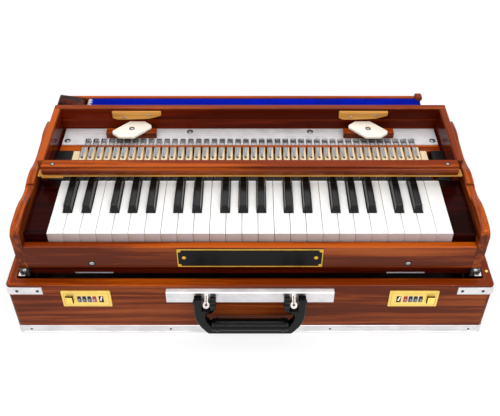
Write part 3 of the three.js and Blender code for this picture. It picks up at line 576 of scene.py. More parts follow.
def bare_wood(name, colour, dark):
    """Unvarnished wood with fine grain."""
    finish = Finish(name)
    run, across, depth = finish.grain()
    streak = finish.noise(run * 9, across * 320, depth * 320, 5, 0.6)
    shaded = dimmed(colour, dark)
    return finish.done(
        Base_Color=finish.ramp(streak, (0.35, shaded), (0.6, colour)),
        Roughness=streak * 0.15 + 0.55,
        Normal=finish.bump(streak, 0.0002, 0.3),
    )


def plastic(name, colour, roughness, coat, speck, gloss=0.3):
    """Moulded or celluloid plastic, slightly uneven in tone and gloss."""
    finish = Finish(name)
    cloud = finish.even(60, 4)
    worn = dimmed(colour, 1 - 2 * speck)
    return finish.done(
        Base_Color=finish.ramp(cloud, (0.3, worn), (0.6, colour)),
        Roughness=cloud * 0.08 + (roughness - 0.04),
        Specular_IOR_Level=gloss,
        Coat_Weight=coat,
        Coat_Roughness=0.04,
        Normal=finish.bump(finish.even(900, 2), 0.00005, 0.2),
    )


def moulded_grain(name, colour):
    """Black moulded plastic with a leather-like skin."""
    finish = Finish(name)
    x, y, z = finish.place()
    where = finish.node("ShaderNodeCombineXYZ", None, {0: x, 1: y, 2: z})
    cell = finish.node("ShaderNodeTexVoronoi", None, {"Vector": where, "Scale": 700})
    cloud = finish.even(90, 3)
    return finish.done(
        Base_Color=finish.ramp(cloud, (0.3, dimmed(colour, 0.7)), (0.7, colour)),
        Roughness=cloud * 0.14 + 0.12,
        Specular_IOR_Level=0.16,
        Normal=finish.bump(cell, 0.0003, 0.35),
    )


def brushed_metal(name, colour, roughness, fine=900, coarse=14, metallic=0.85, worn=0.82):
    """Metal brushed along X, with soft stains."""
    finish = Finish(name)
    x, y, z = finish.place()
    lines = finish.noise(x * coarse, y * fine, z * fine, 4)
    stain = finish.even(35, 4, 0.65)
    dull = dimmed(colour, worn)
    return finish.done(
        Base_Color=finish.ramp(lines * 0.4 + stain * 0.6, (0.4, dull), (0.56, colour)),
        Metallic=metallic,
        Roughness=lines * 0.15 + stain * 0.12 + (roughness - 0.13),
        Normal=finish.bump(lines, 0.00004, 0.5),
    )


def woven_cloth(name, colour):
    """Close woven bellows cloth."""
    finish = Finish(name)
    x, y, z = finish.place()
    warp = finish.node(
        "ShaderNodeTexWave",
        {"bands_direction": "X"},
        {"Vector": finish.node("ShaderNodeCombineXYZ", None, {0: x, 1: y, 2: z}), "Scale": 330},
        out="Fac",
    )
    weft = finish.noise(x * 300, y * 2400, z * 2400, 2)
    cloud = finish.noise(x * 25, y * 60, z * 60, 3)
    dark = dimmed(colour, 0.55)
    return finish.done(
        Base_Color=finish.ramp(cloud * 0.6 + weft * 0.4, (0.3, dark), (0.62, colour)),
        Roughness=cloud * 0.1 + 0.72,
        Specular_IOR_Level=0.1,
        Normal=finish.bump(warp * 0.5 + weft, 0.00015, 0.5),
    )


def soft_felt(name, colour):
    """Felt or chamois."""
    finish = Finish(name)
    hair = finish.even(1500, 4, 0.7)
    cloud = finish.even(120, 3)
    return finish.done(
        Base_Color=finish.ramp(cloud, (0.3, dimmed(colour, 0.7)), (0.65, colour)),
        Roughness=0.8 + cloud * 0.1,
        Normal=finish.bump(hair, 0.0003, 0.6),
    )


def make_finishes(colours):
    """All finishes by name."""
    deep, middle, pale = colours.wood_deep, colours.wood_middle, colours.wood_pale
    # The two upper colours are painted light on the tops of every lacquered wood below.
    lit_top_deep, upper = colours.lit_top_deep, colours.upper
    inner, maroon, black = colours.inner, colours.maroon, colours.black
    for name, *tones in (
        ("case_wood", deep, middle, pale, lit_top_deep, upper),
        ("rail_wood", deep, middle, pale, lit_top_deep, upper, 0.1),
        ("inner_wood", dimmed(inner, 0.35), dimmed(inner, 0.7), inner, lit_top_deep, middle, 0.05),
        # The apron's wood is darkened as painted shade under the slip.
        ("apron_wood", dimmed(inner, 0.25), dimmed(inner, 0.5), dimmed(inner, 0.8), deep, middle),
        ("maroon_wood", dimmed(maroon, 0.4), maroon, dimmed(maroon, 1.6), dimmed(maroon, 0.4), maroon, 0.03),
        ("dark_carving", dimmed(deep, 0.1), dimmed(deep, 0.6), deep, dimmed(deep, 0.2), deep, 0.05),
    ):
        lacquered_wood(name, *tones)
    bare_wood("bare_wood", colours.bare_wood, 0.6)
    bare_wood("tray_lining", linear(40, 14, 8), 0.5)
    bare_wood("lever_wood", colours.lever_wood, 0.8)
    for name, *look in (
        ("key_white", colours.key_white, 0.2, 0.2, 0.01),
        ("key_front", colours.key_front, 0.3, 0.1, 0.03),
        ("key_black", colours.key_black, 0.2, 0, 0.15, 0.25),
        ("ivory", colours.ivory, 0.3, 0.2, 0.02),
        ("black_lacquer", dimmed(black, 0.4), 0.3, 0, 0.1, 0.15),
        ("red_wheel", linear(176, 40, 24), 0.35, 0.1, 0.1),
        ("black_wheel", linear(30, 27, 25), 0.35, 0.1, 0.1),
        ("white_edging", linear(240, 240, 238), 0.6, 0, 0.03),
        ("dark_gap", linear(12, 9, 8), 0.8, 0, 0.1),
    ):
        plastic(name, *look)
    moulded_grain("handle_black", dimmed(black, 0.5))
    brushed_metal("aluminium", colours.aluminium, 0.34)
    brushed_metal("plate_metal", colours.aluminium, 0.5, metallic=0.2)
    brushed_metal("steel", colours.steel, 0.32, 500, 120)
    brushed_metal("dark_steel", linear(70, 68, 68), 0.3, 500, 120, 0.6)
    brushed_metal("chrome", linear(246, 236, 230), 0.2, 500, 120)
    brushed_metal("brass", colours.brass, 0.36, metallic=0.6, worn=0.88)
    brushed_metal("gilt", colours.gilt, 0.3, 500, 120, 0.6)
    woven_cloth("bellows_cloth", colours.cloth)
    # The grey felt finish is painted sheen of the spring legs on the key tails.
    soft_felt("grey_felt", colours.felt)
    # A black felt finish used as painted shade behind the key tops.
    soft_felt("black_felt", linear(14, 12, 12))
    soft_felt("leather", linear(206, 172, 124))


def finish_of(name):
    """A finish by its name."""
    return bpy.data.materials[FINISH_PREFIX + name]


def arc(u, v, radius, start, end, steps):
    """Points of an arc, with its angles in quarter turns."""
    turns = [math.pi / 2 * (start + (end - start) * i / steps) for i in range(steps + 1)]
    return [(u + radius * math.cos(turn), v + radius * math.sin(turn)) for turn in turns]


def corners(u0, u1, v0, v1):
    """The corners of a rectangle, anticlockwise."""
    return [(u0, v0), (u1, v0), (u1, v1), (u0, v1)]


def rounded(u0, u1, v0, v1, radius, steps):
    """Outline of a rectangle with round corners, anticlockwise from its lower right corner."""
    return [
        *arc(u1 - radius, v0 + radius, radius, -1, 0, steps),
        *arc(u1 - radius, v1 - radius, radius, 0, 1, steps),
        *arc(u0 + radius, v1 - radius, radius, 1, 2, steps),
        *arc(u0 + radius, v0 + radius, radius, 2, 3, steps),
    ]


def placed(axis, u, v, w):
    """A point given in the plane across an axis and along it."""
    return {"X": (w, u, v), "Y": (u, w, v), "Z": (u, v, w)}[axis]


def level(outline, axis, place):
    """An outline's points at a place along an axis."""
    return [placed(axis, u, v, place) for u, v in outline]


def mirrored(side, near, far):
    """Left and right limits of a part between two places of the left (-1) or right (1) side."""
    return sorted((side * near, side * far))


class Model:
    """A mesh under construction; every face has its finish and its grain."""

    boards = 0

    def __init__(self, node=None, finish=None, along="X"):
        self.bm = bmesh.new()
        self.finishes = []
        if node:
            self.bm.from_mesh(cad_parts[node].data)
            bmesh.ops.remove_doubles(self.bm, verts=self.bm.verts, dist=1e-6)
            bmesh.ops.dissolve_limit(
                self.bm, angle_limit=math.radians(0.5), verts=self.bm.verts, edges=self.bm.edges
            )
        self.grain = self.bm.loops.layers.float_vector.new("grain")
        if node:
            self.dress(self.bm.faces, finish, along)

    def dress(self, faces, finish, along="X"):
        """Gives faces their finish and the way that their grain runs."""
        if finish not in self.finishes:
            self.finishes.append(finish)
        Model.boards += 1
        first, second, third = {"X": (0, 1, 2), "Y": (1, 0, 2), "Z": (2, 0, 1)}[along]
        for face in faces:
            face.material_index = self.finishes.index(finish)
            face.smooth = True
            for loop in face.loops:
                co = loop.vert.co
                loop[self.grain] = (co[first] + Model.boards * BOARD_SHIFT, co[second], co[third])
        return faces

    def loft(self, rings, finish, along="X", capped=True, cyclic=False):
        """Closed rings of points joined one to the next."""
        rows = [[self.bm.verts.new(point) for point in ring] for ring in rings]
        pairs = list(zip(rows, rows[1:]))
        if cyclic:
            pairs.append((rows[-1], rows[0]))
        faces = []
        for lower, upper in pairs:
            for i in range(len(lower)):
                j = (i + 1) % len(lower)
                faces.append(self.bm.faces.new((lower[i], lower[j], upper[j], upper[i])))
        if capped and not cyclic:
            faces.append(self.bm.faces.new(rows[0][::-1]))
            faces.append(self.bm.faces.new(rows[-1]))
        if along == "round":
            self.dress(faces, finish)
            self.wrap(faces, rings)
        else:
            self.dress(faces, finish, along)
        return faces

    def wrap(self, faces, rings):
        """Runs the grain round the rings, as on a veneered wall."""
        count = len(rings[0])
        runs = [0.0]
        for i in range(count):
            runs.append(runs[-1] + (Vector(rings[0][(i + 1) % count]) - Vector(rings[0][i])).length)
        depths = [0.0]
        for lower, upper in zip(rings, rings[1:]):
            depths.append(depths[-1] + (Vector(upper[0]) - Vector(lower[0])).length)
        start = Model.boards * BOARD_SHIFT
        for k in range((len(rings) - 1) * count):
            row, i = divmod(k, count)
            corners = ((row, i), (row, i + 1), (row + 1, i + 1), (row + 1, i))
            for loop, (r, c) in zip(faces[k].loops, corners):
                loop[self.grain] = (runs[c] + start, depths[r], 0)

    def prism(self, outline, axis, start, end, finish, along="X"):
        """An outline drawn out along an axis."""
        return self.loft([level(outline, axis, place) for place in (start, end)], finish, along)

    def block(self, x0, x1, y0, y1, z0, z1, finish, along="X"):
        """A block given by its limits."""
        return self.prism(corners(x0, x1, y0, y1), "Z", z0, z1, finish, along)

    def rod(self, axis, u, v, radius, start, end, finish, sides=24):
        """A round rod along an axis."""
        outline = arc(u, v, radius, 0, 4, sides)[:-1]
        return self.prism(outline, axis, start, end, finish, axis)

    def line(self, outline, near, far, sunk, proud, finish):
        """A line on an upright face, from an outline to the next; outline makes both."""
        section = ((near, sunk), (near, proud), (far, proud), (far, sunk))
        rings = [level(outline(edge), "Y", y) for edge, y in section]
        return self.loft(rings, finish, cyclic=True)

    def cut(self, place, way, **clear):
        """Cuts the mesh across a plane; one side of it may be cleared."""
        parts = self.bm.verts[:] + self.bm.edges[:] + self.bm.faces[:]
        bmesh.ops.bisect_plane(self.bm, geom=parts, plane_co=place, plane_no=way, **clear)

    def make(self, name, body="instrument", **ends):
        """Ends the mesh as a piece on a body; settle takes what else is given."""
        bmesh.ops.recalc_face_normals(self.bm, faces=self.bm.faces[:])
        mesh = bpy.data.meshes.new(name)
        self.bm.to_mesh(mesh)
        self.bm.free()
        for finish in self.finishes:
            mesh.materials.append(finish_of(finish))
        return settle(mesh, name, body, **ends)


def settle(mesh, name, body, bevel=0.0, segments=2, replaced=None, slot=None):
    """Puts a finished mesh in the scene as a piece that rides on a body."""
    piece = link(bpy.data.objects.new(name, mesh))
    if bevel:
        edges = piece.modifiers.new("edges", "BEVEL")
        edges.width = bevel
        edges.segments = segments
        edges.limit_method = "ANGLE"
        edges.angle_limit = SMOOTH_ANGLE
        edges.harden_normals = True
    else:
        mesh.set_sharp_from_angle(angle=SMOOTH_ANGLE)
    if body:
        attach(piece, body)
    if replaced:
        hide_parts(replaced)
    return piece


def screw_tree():
    """Slotted round heads on points."""
    found = bpy.data.node_groups.get("screw_heads")
    if found:
        return found
    kinds = {"Radius": "Float", "Rise": "Float", "Slot": "Float", "Material": "Material"}
    tree = Tree("screw_heads", kinds)
    radius, rise, slot = tree.given("Radius"), tree.given("Rise"), tree.given("Slot")
    ball = tree.node("GeometryNodeMeshUVSphere", None, {"Segments": 24, "Rings": 12, "Radius": 1.0})
    flat = tree.node("ShaderNodeCombineXYZ", None, {0: radius, 1: radius, 2: rise})
    head = tree.node("GeometryNodeTransform", None, {"Geometry": ball, "Scale": flat})
    size = tree.node("ShaderNodeCombineXYZ", None, {0: radius * 3, 1: slot, 2: rise * 0.9})
    cutter = tree.node("GeometryNodeMeshCube", None, {"Size": size})
    lift = tree.node("ShaderNodeCombineXYZ", None, {0: 0.0, 1: 0.0, 2: rise})
    placing = {"Geometry": cutter, "Translation": lift, "Rotation": (0.011, 0.007, 0.063)}
    lifted = tree.node("GeometryNodeTransform", None, placing)
    cut = tree.node(
        "GeometryNodeMeshBoolean", {"operation": "DIFFERENCE"}, {"Mesh 1": head, "Mesh 2": lifted}
    )
    turn = tree.node("GeometryNodeInputNamedAttribute", {"data_type": "FLOAT_VECTOR"}, {"Name": "turn"})
    rotation = tree.node("FunctionNodeEulerToRotation", None, {0: turn})
    heads = tree.node(
        "GeometryNodeInstanceOnPoints", None,
        {"Points": tree.given("Geometry"), "Instance": cut, "Rotation": rotation},
    )
    return tree.close(heads)


def wire_tree():
    """A round wire along a path of edges."""
    found = bpy.data.node_groups.get("wire_along_path")
    if found:
        return found
    tree = Tree("wire_along_path", {"Radius": "Float", "Sides": "Int", "Material": "Material"})
    path = tree.node("GeometryNodeMeshToCurve", None, {"Mesh": tree.given("Geometry")})
    ring = tree.node(
        "GeometryNodeCurvePrimitiveCircle", None,
        {"Resolution": tree.given("Sides"), "Radius": tree.given("Radius")},
    )
    wire = tree.node(
        "GeometryNodeCurveToMesh", None, {"Curve": path, "Profile Curve": ring, "Fill Caps": True}
    )
    return tree.close(wire)


def screws(name, body, places, radius, rise, finish="steel", slot=0.9 * MM):
    """Screw heads: places are (point, way they face, angle of the slot in degrees)."""
    mesh = bpy.data.meshes.new(name)
    mesh.from_pydata([point for point, _, _ in places], [], [])
    turns = mesh.attributes.new("turn", "FLOAT_VECTOR", "POINT")
    for i, (_, way, angle) in enumerate(places):
        facing = Vector(way).to_track_quat("Z", "Y")
        spin = Euler((0, 0, math.radians(angle))).to_quaternion()
        turns.data[i].vector = (facing @ spin).to_euler()
    inputs = {"Radius": radius, "Rise": rise, "Slot": slot, "Material": finish_of(finish)}
    return settle(grown(name, mesh, screw_tree(), inputs), name, body)


def sunk_screws(name, body, places, radius, rise, finish="steel", slot=1 * MM):
    """Screw heads with a dark washer under each."""
    rim = 0.9 * MM
    washers = Model()
    for point, way, _ in places:
        across = max(range(3), key=lambda k: abs(way[k]))
        u, v = (point[k] for k in range(3) if k != across)
        ends = point[across] - SUNK * way[across], point[across] + rise * 0.3 * way[across]
        washers.rod("XYZ"[across], u, v, radius + rim, *sorted(ends), "dark_gap")
    washers.make(name + "_washers", body)
    screws(name, body, places, radius, rise, finish, slot)


def wire(name, paths, radius, finish):
    """Mesh of wires along paths."""
    mesh = bpy.data.meshes.new(name)
    points, edges = [], []
    for path in paths:
        edges += [(len(points) + i, len(points) + i + 1) for i in range(len(path) - 1)]
        points += path
    mesh.from_pydata(points, edges, [])
    inputs = {"Radius": radius, "Sides": 8, "Material": finish_of(finish)}
    return grown(name, mesh, wire_tree(), inputs)


def build_tray(sizes):
    """The wooden tray, swept round its outline."""
    edge = sizes.rim_round
    crown = TRAY.top - edge

    def outer(inset, height):
        return case_ring(inset, inset, sizes.corner - inset, height)

    def inner(inset, height):
        return case_ring(
            sizes.side_wall - inset, sizes.end_wall - inset, sizes.inner_corner + inset, height
        )

    rings = [outer(edge / 2, 0), outer(0, edge / 2)]
    rings += [outer(edge - across, crown + up) for across, up in arc(0, 0, edge, 0, 1, 4)]
    rings += [inner(edge - up, crown + across) for across, up in arc(0, 0, edge, 0, 1, 4)]
    rings.append(inner(0, sizes.floor))
    model = Model()
    around = len(rings[0])
    faces = model.loft(rings, "case_wood", "round")
    model.dress(faces[-2 - around : -2] + faces[-1:], "tray_lining")
    pin_y = TRAY.front + sizes.end_wall + sizes.pin_inset
    wall = TRAY.right - sizes.side_wall
    for _, side in SIDES:
        ends = side * wall, side * (wall - sizes.pin_length)
        model.rod("X", pin_y, sizes.pin_height, sizes.pin_radius, *ends, "steel")
    model.make("case_shell", "case", replaced="case_tray", slot="case_wood")


def build_metalwork(sizes):
    """The foot band, the corner straps and their screws."""
    sink = 0.4 * MM
    foot = 0.3 * MM
    lip_top = 1.8 * MM
    edge = 0.4 * MM
    section = [
        (-sink, foot), (sizes.band_lip, foot), (sizes.band_lip, lip_top),
        (sizes.band_proud - 0.5 * MM, lip_top + 0.5 * MM), (sizes.band_proud, lip_top + 1.1 * MM),
        (sizes.band_proud, sizes.band_height - edge), (sizes.band_proud - edge, sizes.band_height),
        (-sink, sizes.band_height),
    ]
    band = Model()
    rings = [case_ring(-proud, -proud, sizes.corner + proud, height) for proud, height in section]
    band.loft(rings, "aluminium", cyclic=True)
    band.make("foot_band", "case", slot="aluminium")

    straps = Model()
    top = TRAY.top - sizes.strap_drop
    low = top - sizes.strap_height
    middle = (TRAY.front + TRAY.back) / 2
    section = corners(-sink, sizes.strap_proud, low, top)
    for side_x in (-1, 1):
        for side_y in (-1, 1):
            rings = []
            for x, y, out_x, out_y in corner_path(sizes):
                outline = [(x + out_x * proud, y + out_y * proud, height) for proud, height in section]
                rings.append([(side_x * u, side_y * v + middle, height) for u, v, height in outline])
            straps.loft(rings, "aluminium")
    straps.make("corner_straps", "case", bevel=0.25 * MM, slot="aluminium")

    height = (top + low) / 2
    end_inset = 6.2 * MM
    near = sizes.strap_reach - end_inset
    far = 13.8 * MM
    faces = ((-1, TRAY.front), (1, TRAY.back))
    places = []
    for side in (-1, 1):
        for way, face in faces:
            y = face + way * sizes.strap_proud
            places.append(((side * (TRAY.right - near), y, height), (0, way, 0), 35 * side))
            places.append(((side * (TRAY.right - far), y, height), (0, way, 0), 70))
        for y in (TRAY.front + near, TRAY.back - near):
            places.append(((side * (TRAY.right + sizes.strap_proud), y, height), (side, 0, 0), 20))
    screws("strap_screws", "case", places, 2.2 * MM, 0.9 * MM, "dark_steel")

    places = []
    height = sizes.band_height / 2
    for x in (-297.7, -107.9, 109.2, 297.7):
        for way, face in faces:
            places.append(((x * MM, face + way * sizes.band_proud, height), (0, way, 0), 15))
    for side in (-1, 1):
        for y in (-90 * MM, 90 * MM):
            places.append(((side * (TRAY.right + sizes.band_proud), y, height), (side, 0, 0), 15))
    screws("band_screws", "case", places, 1.7 * MM, 0.6 * MM, "dark_steel", 0.7 * MM)
    place = (309.7 * MM, TRAY.front + 25.8 * MM, TRAY.top)
    screws("rim_screw", "case", [(place, UP, 40)], 2.2 * MM, 1 * MM, "brass")


def case_ring(inset_x, inset_y, corner, height):
    """A round-cornered ring about the case, set in from its faces."""
    sides = TRAY.left + inset_x, TRAY.right - inset_x, TRAY.front + inset_y, TRAY.back - inset_y
    return level(rounded(*sides, corner, 12), "Z", height)


def corner_path(sizes):
    """Points and outward ways round the right back corner, from the middle of the case."""
    half_x, half_y = TRAY.right, (TRAY.back - TRAY.front) / 2
    corner = sizes.corner
    path = [(half_x, half_y - sizes.strap_reach, 1, 0)]
    for out_x, out_y in arc(0, 0, 1, 0, 1, 12):
        path.append((half_x + corner * (out_x - 1), half_y + corner * (out_y - 1), out_x, out_y))
    path.append((half_x - sizes.strap_reach, half_y, 0, 1))
    return path


class HARMONIUM_OT_case(bpy.types.Operator):
    """Build the case tray with its foot band, corner straps and screws"""

    bl_idname = "harmonium.case"
    bl_label = "Case tray"

    def execute(self, context):
        sizes = context.scene.harmonium_case
        build_tray(sizes)
        build_metalwork(sizes)
        return {"FINISHED"}


def build_lock(sizes, name, side):
    """Plate, number wheels, lid catch and rivets of one lock."""
    node = "lock_" + name
    box = Limits(node)
    box.bottom += sizes.foot_raise
    back = TRAY.front - CLEARANCE
    face = back - sizes.thickness
    middle = (box.left + box.right) / 2
    height = (box.bottom + box.top) / 2
    plate = Model()
    plate.prism(box.outline(0, 1.2 * MM), "Y", back, face + 0.5 * MM, "brass")
    plate.prism(box.outline(sizes.edge, 1 * MM), "Y", face + 0.7 * MM, face, "brass")
    line = sizes.edge + 1.2 * MM
    ends = line, line + 0.7 * MM
    plate.line(lambda inset: box.outline(inset, 1 * MM), *ends, face + 0.2 * MM, face - 0.12 * MM, "gilt")
    plate.make("lock_plate_" + name, "case", bevel=0.3 * MM, replaced=node, slot="brass")

    parts = Model()
    wheels = 4
    half = sizes.wheel_height / 2
    radius = sizes.wheel_radius
    reach = math.asin(half / radius) / (math.pi / 2)
    outline = [(face + SUNK, height - half), (face + SUNK, height + half)]
    outline += arc(face - sizes.wheel_proud + radius, height, radius, 2 - reach, 2 + reach, 10)
    for i in range(wheels):
        x = middle + side * ((i - (wheels - 1) / 2) * sizes.wheel_pitch - sizes.wheel_shift)
        left, right = x - sizes.wheel_width / 2, x + sizes.wheel_width / 2
        parts.prism(outline, "X", left, right, "black_wheel" if i else "red_wheel")
        add_nought(parts, x, face - sizes.wheel_proud, height)
        for edge in (left - 0.9 * MM, right + 0.2 * MM):
            if i < wheels - 1 or side * (edge - x) < 0:
                ends = edge, edge + 0.7 * MM
                parts.block(
                    *ends, face - 0.3 * MM, face + SUNK, height - half, height + half, "white_edging"
                )
    catch = middle - side * sizes.catch_shift
    wide, high = 3 * MM, 6 * MM
    ends = catch - wide, catch + wide
    parts.block(*ends, face - 0.15 * MM, face + 0.2 * MM, height - high, height + high, "dark_gap")
    hook = [(catch + u * MM, height + v * MM) for u, v in ((-2.2, -1), (0.4, 5.5), (2.2, 5.5), (0.2, -3))]
    parts.prism(hook, "Y", face - 1 * MM, face + 0.1 * MM, "chrome")
    parts.make("lock_wheels_" + name, "case", bevel=0.15 * MM, slot="brass")
    inset = sizes.rivet_inset
    places = [
        ((x, face, z), FRONT, 0)
        for x in (box.left + inset, box.right - inset)
        for z in (box.bottom + inset, box.top - inset)
    ]
    screws("lock_rivets_" + name, "case", places, 1.4 * MM, 0.7 * MM, "brass", 0.6 * MM)


def add_nought(model, x, y, z):
    """A plain nought on a number wheel."""

    def oval(half):
        wide, high = half
        return [(x + wide * u, z + high * v) for u, v in arc(0, 0, 1, 0, 4, 16)[:-1]]

    inside, outside = (0.8 * MM, 1.6 * MM), (1.2 * MM, 2.1 * MM)
    model.line(oval, inside, outside, y + SUNK, y - 0.12 * MM, "white_edging")


def build_slide(name, side):
    """The thumb piece of one lock, with its ribs and dark lines of painted shadow along its top and inner
    side.
    """
    node = "lock_slide_" + name
    box = Limits(node)
    face = box.front + 1.2 * MM
    model = Model()
    model.prism(box.outline(0, 1.5 * MM), "Y", box.back, face, "brass", "Z")
    ribs = 4
    for i in range(ribs):
        z = box.bottom + (box.top - box.bottom) * (i + 1) / (ribs + 1)
        model.rod("X", face, z, 0.9 * MM, box.left + 1 * MM, box.right - 1 * MM, "brass", 12)
    inner = box.right if side < 0 else box.left
    line = sorted((inner, inner + side * 1.3 * MM))
    # Painted shadow: dark lines along the slide's top and its inner side.
    for ends, low in (((box.left, box.right), box.top - 1.1 * MM), (line, box.bottom + 0.6 * MM)):
        model.block(*ends, box.front + 0.9 * MM, box.back - 0.1 * MM, low, box.top, "dark_gap")
    model.make("lock_thumb_" + name, node, bevel=0.4 * MM, replaced=node, slot="brass")


class HARMONIUM_OT_locks(bpy.types.Operator):
    """Build the two combination locks and their slides"""

    bl_idname = "harmonium.locks"
    bl_label = "Locks"

    def execute(self, context):
        sizes = context.scene.harmonium_locks
        for name, side in SIDES:
            build_lock(sizes, name, side)
            build_slide(name, side)
        return {"FINISHED"}


def build_strip(sizes):
    """The strip with the two links and pins that hold the handle."""
    back = TRAY.front - CLEARANCE
    face = back - sizes.strip_thickness
    top = HANDLE_PLATE.top
    low = top - sizes.strip_height
    slope = sizes.strip_slope
    outline = [(back, low), (face, low), (face, top - slope), (face + slope / 2, top - slope / 2)]
    outline.append((back, top))
    model = Model()
    model.prism(outline, "X", HANDLE_PLATE.left, HANDLE_PLATE.right, "aluminium")
    model.make("handle_strip", "case", bevel=0.3 * MM, replaced="handle_plate", slot="aluminium")

    links = Model()
    pivot_y = TRAY.front - sizes.pivot_out
    root = Vector((0, face + 1.2 * MM, top - slope))
    ring = Vector((0, pivot_y - 3.6 * MM, sizes.pivot_height - 1.6 * MM))
    down = (ring - root).normalized()
    out = Vector((1, 0, 0)).cross(down)
    reach = (ring - root).length
    neck = math.asin(sizes.link_width / 2 / sizes.link_ring) / (math.pi / 2)
    outline = [(-sizes.link_width / 2, 0), (sizes.link_width / 2, 0)]
    outline += arc(0, reach, sizes.link_ring, neck - 1, 3 - neck, 20)
    # The link's hole and slit are solid dark pieces: painted shade in place of openings.
    hole = arc(0, reach, sizes.link_hole, 0, 4, 16)[:-1]
    slit = corners(-0.6 * MM, 0.6 * MM, reach * 0.25, reach)
    for side in (-1, 1):
        middle = side * sizes.link_place
        for points, share, finish in (
            (outline, 0.5, "chrome"), (hole, 0.62, "dark_gap"), (slit, 0.6, "dark_gap")
        ):
            rings = []
            for depth in (-share, share):
                centre = Vector((middle, root.y, root.z)) + out * sizes.link_thickness * depth
                rings.append([centre + Vector((u, 0, 0)) + down * v for u, v in points])
            links.loft(rings, finish)
        start = sizes.link_place + sizes.link_ring - 0.6 * MM
        tip = HANDLE.right - sizes.arm_width + sizes.notch_width - 0.3 * MM + sizes.pin_length
        ends = mirrored(side, start, tip)
        links.rod("X", pivot_y, sizes.pivot_height, sizes.pin_radius, *ends, "dark_steel")
    links.make("handle_links", "case", bevel=0.35 * MM, segments=3, slot="steel")


def build_handle(sizes):
    """The moulded handle: forked arms on a flat bar, with a round grip over it."""
    y = TRAY.front - sizes.pivot_out
    half = HANDLE.right
    low = HANDLE.bottom
    inner = half - sizes.arm_width
    notch = sizes.pivot_height - sizes.notch_drop
    notch_out = inner + sizes.notch_width
    notch_in = sizes.link_place - sizes.link_ring - 0.4 * MM
    prong = notch_in - sizes.bush_width
    prong_top = sizes.pivot_height + sizes.bush_radius * 0.6
    right = [
        (sizes.foot_half, low), (sizes.foot_half + 2 * MM, low + 1.6 * MM),
        (sizes.knee_half, sizes.knee - 3 * MM), (sizes.knee_half + 3.6 * MM, sizes.knee + 4 * MM),
        (half - 1.2 * MM, sizes.shoulder - 3 * MM), (half - 0.2 * MM, sizes.shoulder + 5 * MM),
        (half, HANDLE.top + 1.6 * MM), (notch_out, HANDLE.top + 1.6 * MM), (notch_out, notch),
        (notch_in, notch), (notch_in, prong_top), (prong, prong_top), (prong, notch + 5 * MM),
        (prong + 3 * MM, notch - 1 * MM), (inner + 4 * MM, notch - 6 * MM),
        (inner + 4.6 * MM, sizes.shoulder), (inner + 2.6 * MM, sizes.knee + 8 * MM),
        (inner - 3 * MM, sizes.knee), (inner - 6 * MM, low + sizes.bar_height),
    ]
    model = Model()
    outline = right + [(-x, z) for x, z in reversed(right)]
    thick = sizes.arm_thickness / 2
    model.prism(outline, "Y", y - thick, y + thick, "handle_black")
    model.make(
        "handle_arms", "handle", bevel=1.8 * MM, segments=4,
        replaced="carry_handle", slot="handle_plastic",
    )

    rolls = Model()
    grip_half = inner - 3 * MM
    rolls.rod("X", y, sizes.grip_height, sizes.grip_radius, -grip_half, grip_half, "handle_black", 40)
    collar = sizes.grip_radius + sizes.collar
    for side in (-1, 1):
        for near, far, height, radius, sides in (
            (grip_half - 9 * MM, grip_half - 5 * MM, sizes.grip_height, collar, 40),
            (prong, notch_in, sizes.pivot_height, sizes.bush_radius, 32),
            (half - 1 * MM, half + 1.2 * MM, sizes.pivot_height, 3.4 * MM, 20),
        ):
            rolls.rod("X", y, height, radius, *mirrored(side, near, far), "handle_black", sides)
    rolls.make("handle_grip", "handle", bevel=0.7 * MM, segments=3, slot="handle_plastic")


class HARMONIUM_OT_handle(bpy.types.Operator):
    """Build the handle strip with its links and the carrying handle"""

    bl_idname = "harmonium.handle"
    bl_label = "Handle"

    def execute(self, context):
        sizes = context.scene.harmonium_handle
        build_strip(sizes)
        build_handle(sizes)
        return {"FINISHED"}


class HARMONIUM_OT_lift(bpy.types.Operator):
    """Build the two lift frames"""

    bl_idname = "harmonium.lift"
    bl_label = "Lift frames"

    def execute(self, context):
        for name, body in (("outer", "lift_outer"), ("inner", "lift_inner")):
            node = "lift_frame_" + name
            model = Model(node, "dark_steel", "Y")
            model.make("lift_bars_" + name, body, replaced=node, slot="steel")
        return {"FINISHED"}


